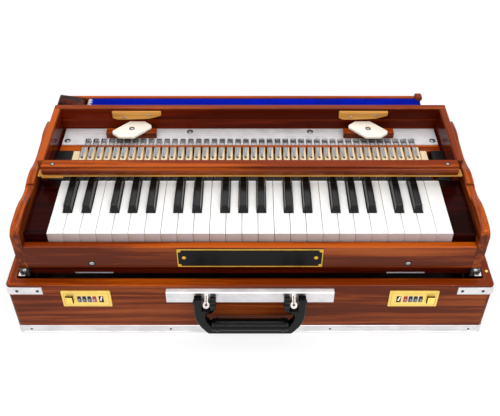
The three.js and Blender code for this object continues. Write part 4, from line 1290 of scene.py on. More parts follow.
def build_boards(sizes):
    """Slip, apron, sides, floor, back and the rail that the keys rock on."""
    half = CHAMBER.right
    apron = CHEEK.front + sizes.apron_inset
    slip = Model()
    edge = 2.2 * MM
    foot_edge = 0.6 * MM
    back = CHEEK.front + sizes.slip_thickness
    outline = [
        (back, CHEEK.bottom), (CHEEK.front + foot_edge, CHEEK.bottom),
        (CHEEK.front, CHEEK.bottom + foot_edge), *arc(CHEEK.front + edge, SLIP_TOP - edge, edge, 2, 1, 6),
        *arc(back - edge / 2, SLIP_TOP - edge / 2, edge / 2, 1, 0, 4),
    ]
    slip.prism(outline, "X", -half, half, "case_wood")
    slip.make("slip_board", slot="case_wood")

    model = Model()
    overlap = 1 * MM
    low = CHEEK.bottom - sizes.floor_drop
    floor_top = low + sizes.floor_board
    apron_back = apron + sizes.apron_thickness
    apron_top = CHEEK.bottom + sizes.apron_rise
    back = CHAMBER.back - sizes.back_board
    # The apron is in darkened wood: painted shade under the slip.
    model.block(-half, half, apron, apron_back, BED.bottom, apron_top, "apron_wood")
    depth = apron_back - overlap, CHAMBER.back - overlap
    model.block(-half + overlap, half - overlap, *depth, low, floor_top, "inner_wood")
    model.block(-half, half, back, CHAMBER.back, low, SLIP_TOP, "case_wood")
    for side in (-1, 1):
        ends = mirrored(side, half - sizes.board, half)
        model.block(*ends, apron_back - overlap, back + overlap, low, SLIP_TOP, "case_wood", "Y")
    model.make("carcass_boards", bevel=0.6 * MM, replaced="key_bed", slot="dark_wood")

    rail = Model()
    pivot = WHITE_KEY.front + 119.4 * MM
    half_rail = 7 * MM
    front, back = pivot - half_rail, pivot + half_rail
    crest = SLIP_TOP - 2.4 * MM
    shoulder = crest - 4 * MM
    foot = floor_top - overlap
    outline = [(front, foot), (back, foot), (back, shoulder), (pivot, crest), (front, shoulder)]
    reach = half - sizes.board + 0.8 * MM
    rail.prism(outline, "X", -reach, reach, "lever_wood")
    rail.make("balance_rail", bevel=0.4 * MM, slot="dark_wood")


def build_key_blocks(sizes, chamber):
    """The dark blocks beside the keyboard, and the black stops behind them."""
    half = CHAMBER.right
    rail_face = CHAMBER.front + chamber.rail_bulge
    stops = Model()
    for name, side in SIDES:
        inner = chamber.stop_left if side < 0 else chamber.stop_right
        ends = mirrored(side, inner, half - chamber.wall - CLEARANCE)
        depth = rail_face + 11 * MM, rail_face + chamber.stop_back
        stops.block(*ends, *depth, BED.top - 19 * MM, BED.top, "black_lacquer")
        model = Model()
        ends = mirrored(side, half - sizes.block_width, half)
        depth = WHITE_KEY.front + 0.4 * MM, CHAMBER.front + 12 * MM
        model.block(*ends, *depth, BED.top - sizes.block_height, BED.top, "maroon_wood")
        model.make("key_block_" + name, bevel=1.1 * MM, segments=4, slot="dark_wood")
    stops.make("end_stops", bevel=1 * MM, segments=3, slot="dark_wood")


def build_brackets(sizes):
    """Lift brackets with their tabs and pins, hinge leaves and the slip's screws."""
    half = CHAMBER.right
    apron = CHEEK.front + sizes.apron_inset
    front = TRAY.front + 14.5 * MM
    low = CHEEK.bottom - CLEARANCE - sizes.bracket_height
    model = Model()
    pin_y, pin_z = front + 5.5 * MM, CHEEK.bottom - 5.3 * MM
    pin_radius, pin_reach = 3 * MM, 12.1 * MM
    tab = sizes.tab_place
    for side in (-1, 1):
        ends = mirrored(side, half - 0.5 * MM, half + sizes.bracket_thickness)
        back = front + sizes.bracket_length
        model.block(*ends, front, back, low, low + sizes.bracket_height, "dark_steel", "Y")
        ends = mirrored(side, half, tab)
        back = front + sizes.tab_length
        model.block(*ends, front + 1.5 * MM, back - 1.5 * MM, low, low + 1 * MM, "dark_steel", "Y")
        ends = mirrored(side, tab - sizes.tab_width, tab)
        model.block(*ends, front, back, low, low + 1.5 * MM, "aluminium", "Y")
        ends = mirrored(side, half, half + pin_reach)
        model.rod("X", pin_y, pin_z, pin_radius, *ends, "steel")
    model.make("lift_brackets", bevel=0.4 * MM, slot="steel")
    tab_x = tab - sizes.tab_width / 2
    tab_y = front + sizes.tab_length / 2
    places = [((side * tab_x, tab_y, low + 1.5 * MM), UP, 30) for side in (-1, 1)]
    screws("tab_screws", "instrument", places, 2 * MM, 0.9 * MM, "dark_steel")

    leaves = Model()
    low_edge = BED.bottom + 1.3 * MM
    knuckles = 5
    step = sizes.hinge_length / knuckles
    for side in (-1, 1):
        left = side * sizes.hinge_centre - sizes.hinge_length / 2
        right = left + sizes.hinge_length
        depth = apron - 0.5 * MM, apron + 0.3 * MM
        leaves.block(left, right, *depth, low_edge, low_edge + 1.6 * MM, "aluminium")
        for i in range(knuckles):
            ends = left + step * i + 0.3 * MM, left + step * (i + 1) - 0.3 * MM
            leaves.rod("X", apron + 0.1 * MM, low_edge, 0.8 * MM, *ends, "aluminium", 16)
    leaves.make("hinge_leaves", slot="aluminium")
    screw_x, screw_z = 203 * MM, 117 * MM
    places = [((side * screw_x, CHEEK.front, screw_z), FRONT, 80 + 40 * side) for side in (-1, 1)]
    sunk_screws("slip_screws", "instrument", places, 3.6 * MM, 1.4 * MM, "steel")


def build_name_plate(sizes):
    """The bare plate, its gilt border, corner dots and screws."""
    half = sizes.plate_width / 2
    top = SLIP_TOP - 1.6 * MM
    low = top - sizes.plate_height
    face = CHEEK.front - sizes.plate_thickness
    plate = Model()
    plate.block(-half, half, face, CHEEK.front + SUNK, low, top, "black_lacquer")
    plate.make("name_plate_bare", bevel=0.4 * MM, segments=3, slot="handle_plastic")
    border = Model()

    def outline(inset):
        return corners(-half + inset, half - inset, low + inset, top - inset)

    border.line(outline, 0.3 * MM, sizes.plate_border, face + 0.4 * MM, face - 0.35 * MM, "gilt")
    for x in (-half + 3 * MM, half - 3 * MM):
        for z in (low + 3 * MM, top - 3 * MM):
            border.rod("Y", x, z, 2.5 * MM, face - 0.4 * MM, face + SUNK, "gilt")
    border.make("name_plate_border", bevel=0.15 * MM, slot="brass")
    places = [((side * (half - 9 * MM), face, (low + top) / 2 + 0.5 * MM), FRONT, 25) for side in (-1, 1)]
    screws("name_plate_screws", "instrument", places, 2.9 * MM, 1.6 * MM, "gilt", 0.1 * MM)


class HARMONIUM_OT_carcass(bpy.types.Operator):
    """Build the carcass with its slip, key blocks, brackets and name plate"""

    bl_idname = "harmonium.carcass"
    bl_label = "Carcass"

    def execute(self, context):
        sizes = context.scene.harmonium_carcass
        build_boards(sizes)
        build_key_blocks(sizes, context.scene.harmonium_chamber)
        build_brackets(sizes)
        build_name_plate(sizes)
        return {"FINISHED"}


def build_cheek(sizes, name):
    """One cheek, lofted front to back under its carved top line."""
    node = "cheek_" + name
    box = Limits(node)
    line = cheek_line(node, box)
    line = grooved(line, sizes, box)
    edge = sizes.cheek_round
    rings = []
    for y, top in line:
        ring = [(box.left, y, box.bottom), (box.right, y, box.bottom)]
        ring += [(x, y, z) for x, z in arc(box.right - edge, top - edge, edge, 0, 1, 5)]
        ring += [(x, y, z) for x, z in arc(box.left + edge, top - edge, edge, 1, 2, 5)]
        rings.append(ring)
    model = Model()
    model.loft(rings, "case_wood", "Y")
    model.make("cheek_board_" + name, replaced=node, slot="case_wood")


def cheek_line(node, box):
    """Top line of the board, front to back, smoothed between the CAD's points."""
    places = {}
    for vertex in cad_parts[node].data.vertices:
        y, z = vertex.co.y, vertex.co.z
        if z > box.bottom + 1 * MM:
            places[round(y, 5)] = max(z, places.get(round(y, 5), 0))
    line = sorted(places.items())
    fine = []
    parts = 3
    for i in range(len(line) - 1):
        p = [Vector(line[max(0, min(len(line) - 1, i + k))]) for k in (-1, 0, 1, 2)]
        for k in range(parts):
            t = k / parts
            point = 0.5 * (
                2 * p[1]
                + (p[2] - p[0]) * t
                + (2 * p[0] - 5 * p[1] + 4 * p[2] - p[3]) * t * t
                + (3 * p[1] - p[0] - 3 * p[2] + p[3]) * t ** 3
            )
            fine.append((point.x, min(point.y, box.top)))
    fine.append(line[-1])
    return fine


def grooved(line, sizes, box):
    """Cuts the sharp groove across the top line."""
    middle = box.front + sizes.groove_from_front
    half = sizes.groove_width / 2
    before = [p for p in line if p[0] < middle - half * 1.8]
    after = [p for p in line if p[0] > middle + half * 1.8]
    rim = (before[-1][1] + after[0][1]) / 2 + 0.6 * MM
    notch = [
        (middle - half, rim), (middle - half * 0.55, rim - sizes.groove_depth),
        (middle + half * 0.35, rim - sizes.groove_depth), (middle + half, rim + 0.5 * MM),
    ]
    return before + notch + after


class HARMONIUM_OT_cheeks(bpy.types.Operator):
    """Build the carved cheeks at both ends"""

    bl_idname = "harmonium.cheeks"
    bl_label = "Cheeks"

    def execute(self, context):
        sizes = context.scene.harmonium_carcass
        for name, _ in SIDES:
            build_cheek(sizes, name)
        return {"FINISHED"}


def spring_plate_top(sizes):
    """Height of the spring plate's top."""
    return REED_BOARD.bottom + sizes.board_thickness + sizes.spring_block + sizes.plate_thickness


def build_rail(sizes):
    """The moulded fall rail with its light strip."""
    top = CHAMBER.top
    low = top - sizes.rail_height
    face = CHAMBER.front + sizes.rail_bulge
    back = face + sizes.rail_depth
    strip = sizes.strip_height
    roll = sizes.rail_roll
    foot = low + strip - 1.5 * MM
    roll_y = face - sizes.rail_bulge + roll
    roll_z = foot + 0.9 * MM + roll * 0.93
    outline = [
        (back, top), *arc(face + 1 * MM, top - 1 * MM, 1 * MM, 1, 2, 4),
        (face, roll_z + roll + 0.6 * MM), (face + 1.6 * MM, roll_z + roll * 0.9),
        *arc(roll_y, roll_z, roll, 1.3, 2.75, 16), (face + 1.4 * MM, foot), (back, foot),
    ]
    half = CHAMBER.right
    model = Model()
    end = half - sizes.rail_end
    model.prism(outline, "X", -end, end, "rail_wood")
    model.make("fall_rail", bevel=0.25 * MM, replaced="chamber_frame", slot="case_wood")

    light = Model()
    height = low + strip - 3.2 * MM, low + strip - 1 * MM
    light.block(-half + 2 * MM, half - 2 * MM, face - 0.4 * MM, back, *height, "bare_wood")
    left = -half + 7 * MM
    width = 28.7 * MM
    depth = face - 0.9 * MM, back - 2 * MM
    height = low + strip - 5.2 * MM, low + strip - 1.2 * MM
    light.block(left, left + width, *depth, *height, "bare_wood")
    light.make("rail_strip", bevel=0.4 * MM, slot="dark_wood")
    screw_x, screw_y = 262 * MM, face + 5 * MM
    places = [((side * screw_x, screw_y, top), UP, 40) for side in (-1, 1)]
    sunk_screws("rail_screws", "instrument", places, 2.1 * MM, 1.1 * MM, "steel")


def build_walls(sizes):
    """Side walls, back wall and its ledge."""
    half = CHAMBER.right
    model = Model()
    outer = half - sizes.wall_inset
    rail_back = CHAMBER.front + sizes.rail_bulge + sizes.rail_depth
    inner_back = CHAMBER.back - sizes.back_wall
    depth = rail_back - 0.8 * MM, inner_back + 0.6 * MM
    for side in (-1, 1):
        ends = mirrored(side, half - sizes.wall + 0.8 * MM, outer)
        model.block(*ends, *depth, CHAMBER.bottom, CHAMBER.top, "case_wood", "Y")
    model.block(-outer, outer, inner_back, CHAMBER.back, CHAMBER.bottom, CHAMBER.top, "case_wood")
    model.make("chamber_walls", bevel=0.9 * MM, segments=3, slot="case_wood")
    panels = Model()
    plate_top = spring_plate_top(sizes)
    ledge_top = plate_top + sizes.ledge_height
    top = CHAMBER.top - 2 * MM
    inner = half - sizes.wall
    reach = inner - 0.2 * MM
    sunk = inner_back + SUNK
    ledge = inner_back - sizes.ledge_proud
    panels.block(-reach, reach, ledge, sunk, plate_top + 0.3 * MM, ledge_top, "inner_wood")
    panels.block(-reach, reach, inner_back - 0.2 * MM, sunk, ledge_top, top, "inner_wood")
    for side in (-1, 1):
        ends = mirrored(side, inner + 1 * MM, reach)
        panels.block(*ends, rail_back, inner_back, CHAMBER.bottom, top, "inner_wood", "Y")
    panels.make("chamber_lining", bevel=0.15 * MM, slot="dark_wood")


def build_battens(sizes):
    """Light battens with their screws."""
    top = CHAMBER.top - sizes.batten_drop
    low = top - sizes.batten_height
    inner_back = CHAMBER.back - sizes.back_wall
    face = inner_back - sizes.batten_thickness
    model = Model()
    places = []
    for side in (-1, 1):
        middle = side * sizes.batten_place
        half, low_half = sizes.batten_width / 2, sizes.batten_low_width / 2
        outline = [
            (middle - low_half, low), (middle + low_half, low + sizes.batten_height * 0.12),
            (middle + half - 0.4 * MM, low + sizes.batten_height * 0.5), (middle + half, top),
            (middle - half, top), (middle - half + 0.4 * MM, low + sizes.batten_height * 0.2),
            (middle - half * 0.8, low - 0.05 * MM),
        ]
        model.prism(outline, "Y", face, inner_back, "bare_wood")
        for shift, height, spin in ((-0.25, 0.38, 20), (0.25, 0.62, 75)):
            place = (middle + shift * sizes.batten_width, face, low + height * sizes.batten_height)
            places.append((place, FRONT, spin))
    model.make("lid_battens", bevel=1.3 * MM, slot="dark_wood")
    screws("batten_screws", "instrument", places, 2.2 * MM, 1.2 * MM, "steel")


class HARMONIUM_OT_chamber(bpy.types.Operator):
    """Build the fall rail, the chamber's walls and its battens"""

    bl_idname = "harmonium.chamber"
    bl_label = "Reed chamber"

    def execute(self, context):
        sizes = context.scene.harmonium_chamber
        build_rail(sizes)
        build_walls(sizes)
        build_battens(sizes)
        return {"FINISHED"}


def build_reed_board(sizes, keys):
    """Reed board, spring block, end pieces, button blocks and the spring plate with its screws."""
    box = REED_BOARD
    board_top = box.bottom + sizes.board_thickness
    block_top = board_top + sizes.spring_block
    plate_top = spring_plate_top(sizes)
    tail_end = max(Limits(name).back for name in KEY_NODES)
    front = tail_end + TAIL_GAP
    foot = board_top - 0.5 * MM
    overlap = 0.2 * MM
    model = Model()
    model.block(box.left, box.right, box.front, box.back, box.bottom, board_top, "inner_wood")
    block_half = box.right - 1.7 * MM
    end_front = front - sizes.end_reach
    model.block(-block_half, block_half, front, box.back, foot, block_top, "case_wood")
    button_back = CHAMBER.back - sizes.back_wall - sizes.block_back
    creams = Model()
    blocks = Model()
    for side in (-1, 1):
        ends = mirrored(side, sizes.end_inner, block_half)
        model.block(*ends, end_front, front + 1 * MM, foot, block_top, "case_wood")
        ends = mirrored(side, sizes.end_inner, sizes.end_inner + sizes.end_width)
        top = lever_top(keys)
        creams.block(*ends, box.front, end_front - 0.3 * MM, board_top - 0.3 * MM, top, "lever_wood", "Y")
        left = side * sizes.block_place - sizes.block_width / 2
        blocks.block(
            left, left + sizes.block_width, button_back - sizes.block_depth, button_back,
            plate_top - overlap, plate_top + sizes.block_height, "case_wood",
        )
    model.make("reed_board_wood", bevel=0.6 * MM, segments=3, replaced="reed_board", slot="dark_wood")
    creams.make("end_pieces", bevel=0.5 * MM, slot="dark_wood")
    blocks.make("button_blocks", bevel=1.2 * MM, segments=4, slot="case_wood")
    plate = Model()
    plate_front = front + sizes.plate_inset
    side_gap = 2.7 * MM
    outline = rounded(
        box.left + side_gap, box.right - side_gap, plate_front, box.back - CLEARANCE, 1 * MM, 3
    )
    plate.prism(outline, "Z", block_top - overlap, plate_top, "plate_metal")
    plate.make("spring_plate", bevel=0.3 * MM, slot="aluminium")
    end_screw = 265 * MM, plate_front + 9 * MM
    back_screw = 88.5 * MM, box.back - 8 * MM
    places = []
    for side in (-1, 1):
        for (x, y), angle in ((end_screw, 60), (back_screw, 25)):
            places.append(((side * x, y, plate_top), UP, angle * side))
    sunk_screws("plate_screws", "instrument", places, 3.6 * MM, 1.2 * MM, "steel", 1.1 * MM)


class HARMONIUM_OT_reed_board(bpy.types.Operator):
    """Build the reed board, the spring block and plate, the end pieces and the button blocks"""

    bl_idname = "harmonium.reed_board"
    bl_label = "Reed board"

    def execute(self, context):
        build_reed_board(context.scene.harmonium_chamber, context.scene.harmonium_keys)
        return {"FINISHED"}


def lever_top(sizes):
    """Height of the levers' top."""
    return LEVER_FOOT + sizes.lever_thickness


def head_back(sizes):
    """Where the tops of the white and raised keys end."""
    return WHITE_KEY.front + sizes.white_length


def end_middle(node, side):
    """X of the middle of a key's front (-1) or back (1) end."""
    points = [vertex.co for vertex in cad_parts[node].data.vertices]
    far = max(side * point.y for point in points)
    ends = [point.x for point in points if side * point.y > far - 1e-5]
    return (min(ends) + max(ends)) / 2


def add_tail(model, sizes, node):
    """Grey strip on the tail as painted sheen of the spring legs, the hole of the spring's hook as a dark
    disc of painted shade, and the pallet's leather.
    """
    box = Limits(node)
    middle = end_middle(node, 1)
    top = lever_top(sizes)
    left = middle - sizes.tail_width / 2 + 0.3 * MM
    depth = box.back - sizes.tail_strip, box.back - 0.4 * MM
    # Painted sheen: a grey strip under the spring legs.
    model.block(left, middle + 1.1 * MM, *depth, top - 0.2 * MM, top + 0.3 * MM, "grey_felt", "Y")
    # The hook's hole is a dark disc: painted shade in place of an opening.
    hook = middle - sizes.hook_shift, box.back - sizes.hook_back
    model.rod("Z", *hook, 1.5 * MM, top + 0.2 * MM, top + 0.45 * MM, "dark_gap", 12)
    half = 5 * MM
    depth = box.back - 19.8 * MM, box.back - 1.2 * MM
    model.block(middle - half, middle + half, *depth, box.bottom, box.bottom + 1.6 * MM, "leather", "Y")


def add_painted_shade(model, sizes):
    """Black strip on the lever behind the key's top: painted shade under the fall rail, in a felt finish."""
    end = head_back(sizes) + sizes.shade_strip_length
    model.cut((0, end, 0), (0, 1, 0))
    faces = model.bm.faces
    covered = [f for f in faces if head_back(sizes) - 1e-4 < f.calc_center_median().y < end]
    model.dress(covered, "black_felt", "Y")


def build_white_key(sizes, node):
    """A white key: celluloid top and front on a wooden lever."""
    model = Model(node, "lever_wood", "Y")
    bm = model.bm
    cut = WHITE_KEY.top - sizes.top_thickness
    model.cut((0, 0, cut), (0, 0, 1))
    tops = [f for f in bm.faces if f.calc_center_median().z > cut + 1e-6]
    model.dress(tops, "key_white", "Y")
    add_painted_shade(model, sizes)
    # Upright front faces get the key front finish: painted shade on the white celluloid.
    faces = [f for f in bm.faces if f.normal.y < -0.9]
    fronts = [f for f in faces if f.calc_center_median().y < WHITE_KEY.front + 1e-5]
    model.dress(fronts, "key_front", "Y")
    add_tail(model, sizes, node)
    name = node + "_finished"
    model.make(name, node, bevel=sizes.edge_round, segments=3, replaced=node, slot="key_white")


def build_raised_key(sizes, node):
    """A raised key: a rounded black head on a wooden lever."""
    box = Limits(node)
    model = Model(node, "lever_wood", "Y")
    bm = model.bm
    start = head_back(sizes) - sizes.lever_run + 1 * MM
    model.cut((0, start, 0), (0, 1, 0), clear_inner=True)
    model.cut((0, 0, lever_top(sizes)), (0, 0, 1), clear_outer=True)
    bmesh.ops.holes_fill(bm, edges=[e for e in bm.edges if e.is_boundary])
    model.dress(bm.faces, "lever_wood", "Y")
    add_painted_shade(model, sizes)
    add_tail(model, sizes, node)
    model.make(node + "_lever", node, bevel=0.4 * MM, slot="key_black")
    head = Model()
    head.loft(head_rings(sizes, box, end_middle(node, -1)), "key_black", "Y")
    head.make(node + "_finished", node, replaced=node, slot="key_black")


def head_rings(sizes, box, middle):
    """Outlines of a raised key's head from its foot to its top."""
    edge = sizes.raised_edge
    crown = box.top - edge
    rings = []
    for share in (0.0, 0.35, 0.62, 0.72, 0.81, 0.9):
        height = LEVER_FOOT + (crown - LEVER_FOOT) * share
        rings.append(head_ring(sizes, box, middle, height, 0))
    for across, up in arc(0, 0, edge, 0, 1, 5):
        rings.append(head_ring(sizes, box, middle, crown + up, edge - across))
    return rings


def head_ring(sizes, box, middle, z, inset):
    """One outline of a raised key's head."""
    visible = WHITE_KEY.top - 2 * MM
    rise = max(0.0, (z - visible) / (box.top - visible))
    half = (sizes.raised_width / 2) + (sizes.raised_top - sizes.raised_width) / 2 * rise - inset
    front = box.front + sizes.raised_slope * rise ** 1.2 + inset * 0.5
    back = head_back(sizes)
    corner = min(sizes.raised_round * (1 - 0.45 * rise), half * 0.9)
    points = [(middle + half, back), (middle - half, back)]
    points += arc(middle - half + corner, front + corner, corner, 2, 3, 6)
    points += arc(middle + half - corner, front + corner, corner, 3, 4, 6)
    return level(points, "Z", z)


class HARMONIUM_OT_keys(bpy.types.Operator):
    """Build the 25 white and 17 raised keys with their levers"""

    bl_idname = "harmonium.keys"
    bl_label = "Keys"

    def execute(self, context):
        sizes = context.scene.harmonium_keys
        for node in WHITE_NODES:
            build_white_key(sizes, node)
        for node in RAISED_NODES:
            build_raised_key(sizes, node)
        return {"FINISHED"}


def coil_path(sizes, start, coil_y, plate_top, low):
    """Path of one spring's anchor and coil."""
    centre = low + sizes.coil
    path = [
        (start, coil_y + sizes.anchor, plate_top - 0.5 * MM),
        (start, coil_y + sizes.anchor, plate_top + sizes.wire),
        (start, coil_y + sizes.anchor - 1 * MM, low), (start, coil_y + sizes.anchor / 2, low),
    ]
    for i in range(sizes.turns * sizes.steps + 1):
        turned = i / sizes.steps
        angle = -math.pi / 2 - 2 * math.pi * turned
        x = start + sizes.turn_pitch * turned
        path.append((x, coil_y + sizes.coil * math.cos(angle), centre + sizes.coil * math.sin(angle)))
    return path


def leg_path(sizes, from_x, coil_y, low, hook, top, shift):
    """Path of one leg, from the coil over the plate's edge to its hook."""
    path = [(from_x, coil_y, low)]
    from_y = coil_y - 1 * MM
    hook_x = hook[0] + shift
    steps = 10
    for i in range(steps + 1):
        t = i / steps
        y = from_y + (hook[1] - from_y) * t
        x = from_x + (hook_x - from_x) * t
        straight = low + (top + 0.9 * MM - low) * t
        path.append((x, y, straight + sizes.arch * math.sin(math.pi * t) * (1 - 0.35 * t)))
    path.append((hook_x, hook[1] - 0.4 * MM, top - 0.6 * MM))
    return path


def build_springs(sizes, chamber, keys):
    """A coil, two legs and a curl for each key tail."""
    plate_top = spring_plate_top(chamber)
    top = lever_top(keys)
    low = plate_top + sizes.wire + sizes.raise_up
    width = sizes.turns * sizes.turn_pitch
    for node in KEY_NODES:
        box = Limits(node)
        middle = end_middle(node, 1)
        coil_y = box.back + TAIL_GAP + chamber.plate_inset + sizes.from_edge
        hook = (middle - keys.hook_shift, box.back - keys.hook_back)
        start = middle * sizes.coil_pitch / sizes.tail_pitch - width / 2
        path = coil_path(sizes, start, coil_y, plate_top, low)
        # The coil is in dark steel while the legs of the same wire are steel: painted dark reflection in its
        # turns.
        coil = wire(node + "_coil", [path], sizes.wire, "dark_steel")
        settle(coil, node + "_coil", "instrument", slot="steel")
        legs = [
            leg_path(sizes, start + width * share, coil_y, low, hook, top, shift)
            for share, shift in ((0, -0.5 * MM), (1, 0.5 * MM))
        ]
        mesh = wire(node + "_spring", legs, sizes.wire, "steel")
        spring = settle(mesh, node + "_spring", None, slot="steel")
        hook[1] + 3 * MM
        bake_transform(spring)
        # The curl is in the near-black gap finish while the legs of the same wire are steel: painted shade
        # at the hook.
        curl = [(*point, top) for point in arc(hook[0], hook[1] - 1 * MM, sizes.curl, 1.8, -1.2, 10)]
        mesh = wire(node + "_curl", [curl], sizes.wire * 1.5, "dark_gap")
        settle(mesh, node + "_curl", node, slot="steel")


class HARMONIUM_OT_springs(bpy.types.Operator):
    """Build a wire spring for each key tail"""

    bl_idname = "harmonium.springs"
    bl_label = "Key springs"

    def execute(self, context):
        scene = context.scene
        build_springs(scene.harmonium_springs, scene.harmonium_chamber, scene.harmonium_keys)
        return {"FINISHED"}


class HARMONIUM_OT_turn_buttons(bpy.types.Operator):
    """Build the two ivory turn buttons"""

    bl_idname = "harmonium.turn_buttons"
    bl_label = "Turn buttons"

    def execute(self, context):
        for name, side in SIDES:
            node = "turn_button_" + name
            box = Limits(node)
            model = Model(node, "ivory")
            model.make(
                "ivory_button_" + name, node, bevel=1.5 * MM, segments=4, replaced=node, slot="ivory"
            )
            middle = ((box.left + box.right) / 2, (box.front + box.back) / 2)
            place = [((*middle, box.top), UP, 30 + 25 * side)]
            sunk_screws("button_screw_" + name, node, place, 3.1 * MM, 1.1 * MM, "steel", 0.001)
        return {"FINISHED"}


def build_cloth(sizes):
    """The folded cloth, an open tube from the carcass to the board."""
    per_fold = 10
    count = sizes.folds * per_fold
    rings = []
    long_way = 0.0
    before = None
    for i in range(count + 1):
        turned = i / per_fold
        y = CLOTH.front + (CLOTH.back - CLOTH.front) * i / count
        wave = 0.5 + 0.5 * math.cos(2 * math.pi * turned)
        sharp = abs(1 - 2 * (turned % 1))
        inset = sizes.fold_depth * (0.75 * sharp + 0.25 * wave)
        rings.append(cloth_ring(sizes, y, inset))
        if before:
            long_way += math.hypot(y - before[0], inset - before[1])
        before = (y, inset)
    model = Model()
    faces = model.loft(rings, "bellows_cloth", capped=False)
    end = CLOTH.left + sizes.fold_depth + sizes.edging
    places = ((face, face.calc_center_median()) for face in faces)
    edging = [face for face, at in places if at.x < end and at.z > CLOTH.top - 9 * MM]
    model.dress(edging, "white_edging")
    piece = model.make("bellows_folds", None, slot="bellows_cloth")
    thick = piece.modifiers.new("thickness", "SOLIDIFY")
    thick.thickness = 0.5 * MM
    thick.offset = -1
    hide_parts("bellows_cloth")
    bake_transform(piece)


def cloth_ring(sizes, y, inset):
    """One ring of the cloth, slightly uneven."""
    x0, x1 = CLOTH.left + inset, CLOTH.right - inset
    z0, z1 = CLOTH.bottom + inset, CLOTH.top + sizes.rise - inset
    corner = sizes.corner
    spans = {"across": CLOTH.right - CLOTH.left, "up": CLOTH.top - CLOTH.bottom}
    counts = {way: round(span / sizes.step) for way, span in spans.items()}
    points = []
    for (u0, v0), (u1, v1), (cu, cv), quarter in (
        ((x0 + corner, z0), (x1 - corner, z0), (x1 - corner, z0 + corner), -1),
        ((x1, z0 + corner), (x1, z1 - corner), (x1 - corner, z1 - corner), 0),
        ((x1 - corner, z1), (x0 + corner, z1), (x0 + corner, z1 - corner), 1),
        ((x0, z1 - corner), (x0, z0 + corner), (x0 + corner, z0 + corner), 2),
    ):
        steps = counts["across" if v0 == v1 else "up"]
        for k in range(steps):
            points.append((u0 + (u1 - u0) * k / steps, v0 + (v1 - v0) * k / steps))
        points += arc(cu, cv, corner, quarter, quarter + 1, 4)[:-1]
    ring = []
    for x, z in points:
        lift = noise.noise(Vector((x * 30, y * 200, z * 30))) * sizes.ripple
        ring.append((x, y, min(CLOTH.top + sizes.rise, z + lift)))
    return ring


def build_bellows_board(sizes):
    """The board with its fluted grip and small scroll."""
    board_top = CHAMBER.top - 8 * MM
    face = BOARD.back - sizes.board_thickness
    model = Model()
    model.block(BOARD.left + 6 * MM, BOARD.right, face, BOARD.back, BOARD.bottom, board_top, "case_wood")
    model.make(
        "bellows_board_wood", "bellows", bevel=2.2 * MM, segments=4,
        replaced="bellows_board", slot="case_wood",
    )

    grip = Model()
    low = board_top + sizes.board_drop - sizes.grip_height
    high = board_top + sizes.board_drop + 1.6 * MM
    radius = sizes.grip_width / (2 * sizes.flutes)
    rows = [(low, 0.25), (low + 2 * MM, 0.7), (low + 5 * MM, 1.0)]
    rows += [(high - 7 * MM, 1.0), (high - 4 * MM, 0.93), (high - 2 * MM, 0.78), (high - 0.6 * MM, 0.5)]
    rows.append((high, 0.15))
    rings = []
    middle_x = BOARD.left + sizes.grip_width / 2
    middle_y = (BOARD.front + BOARD.back) / 2
    for height, share in rows:
        ring = []
        climb = (height - low) / (high - low)
        for x, y in grip_outline(sizes, radius, climb):
            along = (x - BOARD.left) / sizes.grip_width
            fall = 6 * MM * max(0.0, along - 0.4) ** 1.5 / 0.6 ** 1.5
            out_x = (x - middle_x) * (0.55 + 0.45 * share)
            ring.append((middle_x + out_x, middle_y + (y - middle_y) * share, height - fall * climb))
        rings.append(ring)
    grip.loft(rings, "dark_carving", "Z")
    half_width, half_depth = sizes.scroll_width / 2, sizes.scroll_depth / 2
    x, y = BOARD.right - half_width, BOARD.back - half_depth
    rings = []
    for rise, share in ((-1.4, 1.0), (2, 1.0), (4, 0.85), (5.5, 0.4)):
        width, depth = half_width * share, half_depth * share
        outline = rounded(x - width, x + width, y - depth, y + depth, 2.4 * MM * share, 4)
        rings.append(level(outline, "Z", board_top + rise * MM))
    grip.loft(rings, "case_wood")
    grip.make("bellows_grip", "bellows", slot="case_wood")
    places = []
    for x in (BOARD.left + 20 * MM, BOARD.right - 12 * MM):
        for z in (BOARD.bottom + 12 * MM, board_top - 12 * MM):
            places.append(((x, BOARD.back, z), (0, 1, 0), 40))
    screws("board_screws", "bellows", places, 2.6 * MM, 1 * MM, "steel")


def grip_outline(sizes, radius, turned):
    """Plan of the grip, with slanting round flutes on its front."""
    left, right = BOARD.left, BOARD.left + sizes.grip_width
    back = BOARD.back - 1 * MM
    points = [(right, back), (left, back)]
    steps = sizes.flutes * 10
    for i in range(steps + 1):
        phase = math.pi * (sizes.flutes * i / steps + 1.6 * turned)
        y = BOARD.front + radius * (1 - abs(math.sin(phase)))
        points.append((left + (right - left) * i / steps, y))
    return points


class HARMONIUM_OT_bellows(bpy.types.Operator):
    """Build the bellows cloth and the bellows board"""

    bl_idname = "harmonium.bellows"
    bl_label = "Bellows"

    def execute(self, context):
        sizes = context.scene.harmonium_bellows
        build_cloth(sizes)
        build_bellows_board(sizes)
        return {"FINISHED"}


def build_floor():
    """A pale floor that keeps the object's shadow."""
    half = 6
    mesh = bpy.data.meshes.new("floor")
    mesh.from_pydata(level(corners(-half, half, -half, half), "Z", 0), [], [(0, 1, 2, 3)])
    finish = Finish("floor")
    x, y, _ = finish.place()
    cloud = finish.noise(x * 3, y * 3, 0.0, 2)
    colour = finish.ramp(cloud, (0.3, (0.86, 0.86, 0.86)), (0.7, (0.88, 0.88, 0.88)))
    plain = finish.node("ShaderNodeBsdfDiffuse", None, {"Color": colour})
    glow = finish.node("ShaderNodeEmission", None, {"Color": (1, 1, 1, 1), "Strength": 1.12})
    mixed = finish.node("ShaderNodeMixShader", None, {0: finish.seen() * 0.7, 1: plain, 2: glow})
    finish.node("ShaderNodeOutputMaterial", None, {"Surface": mixed})
    mesh.materials.append(finish.material)
    link(bpy.data.objects.new("floor", mesh))


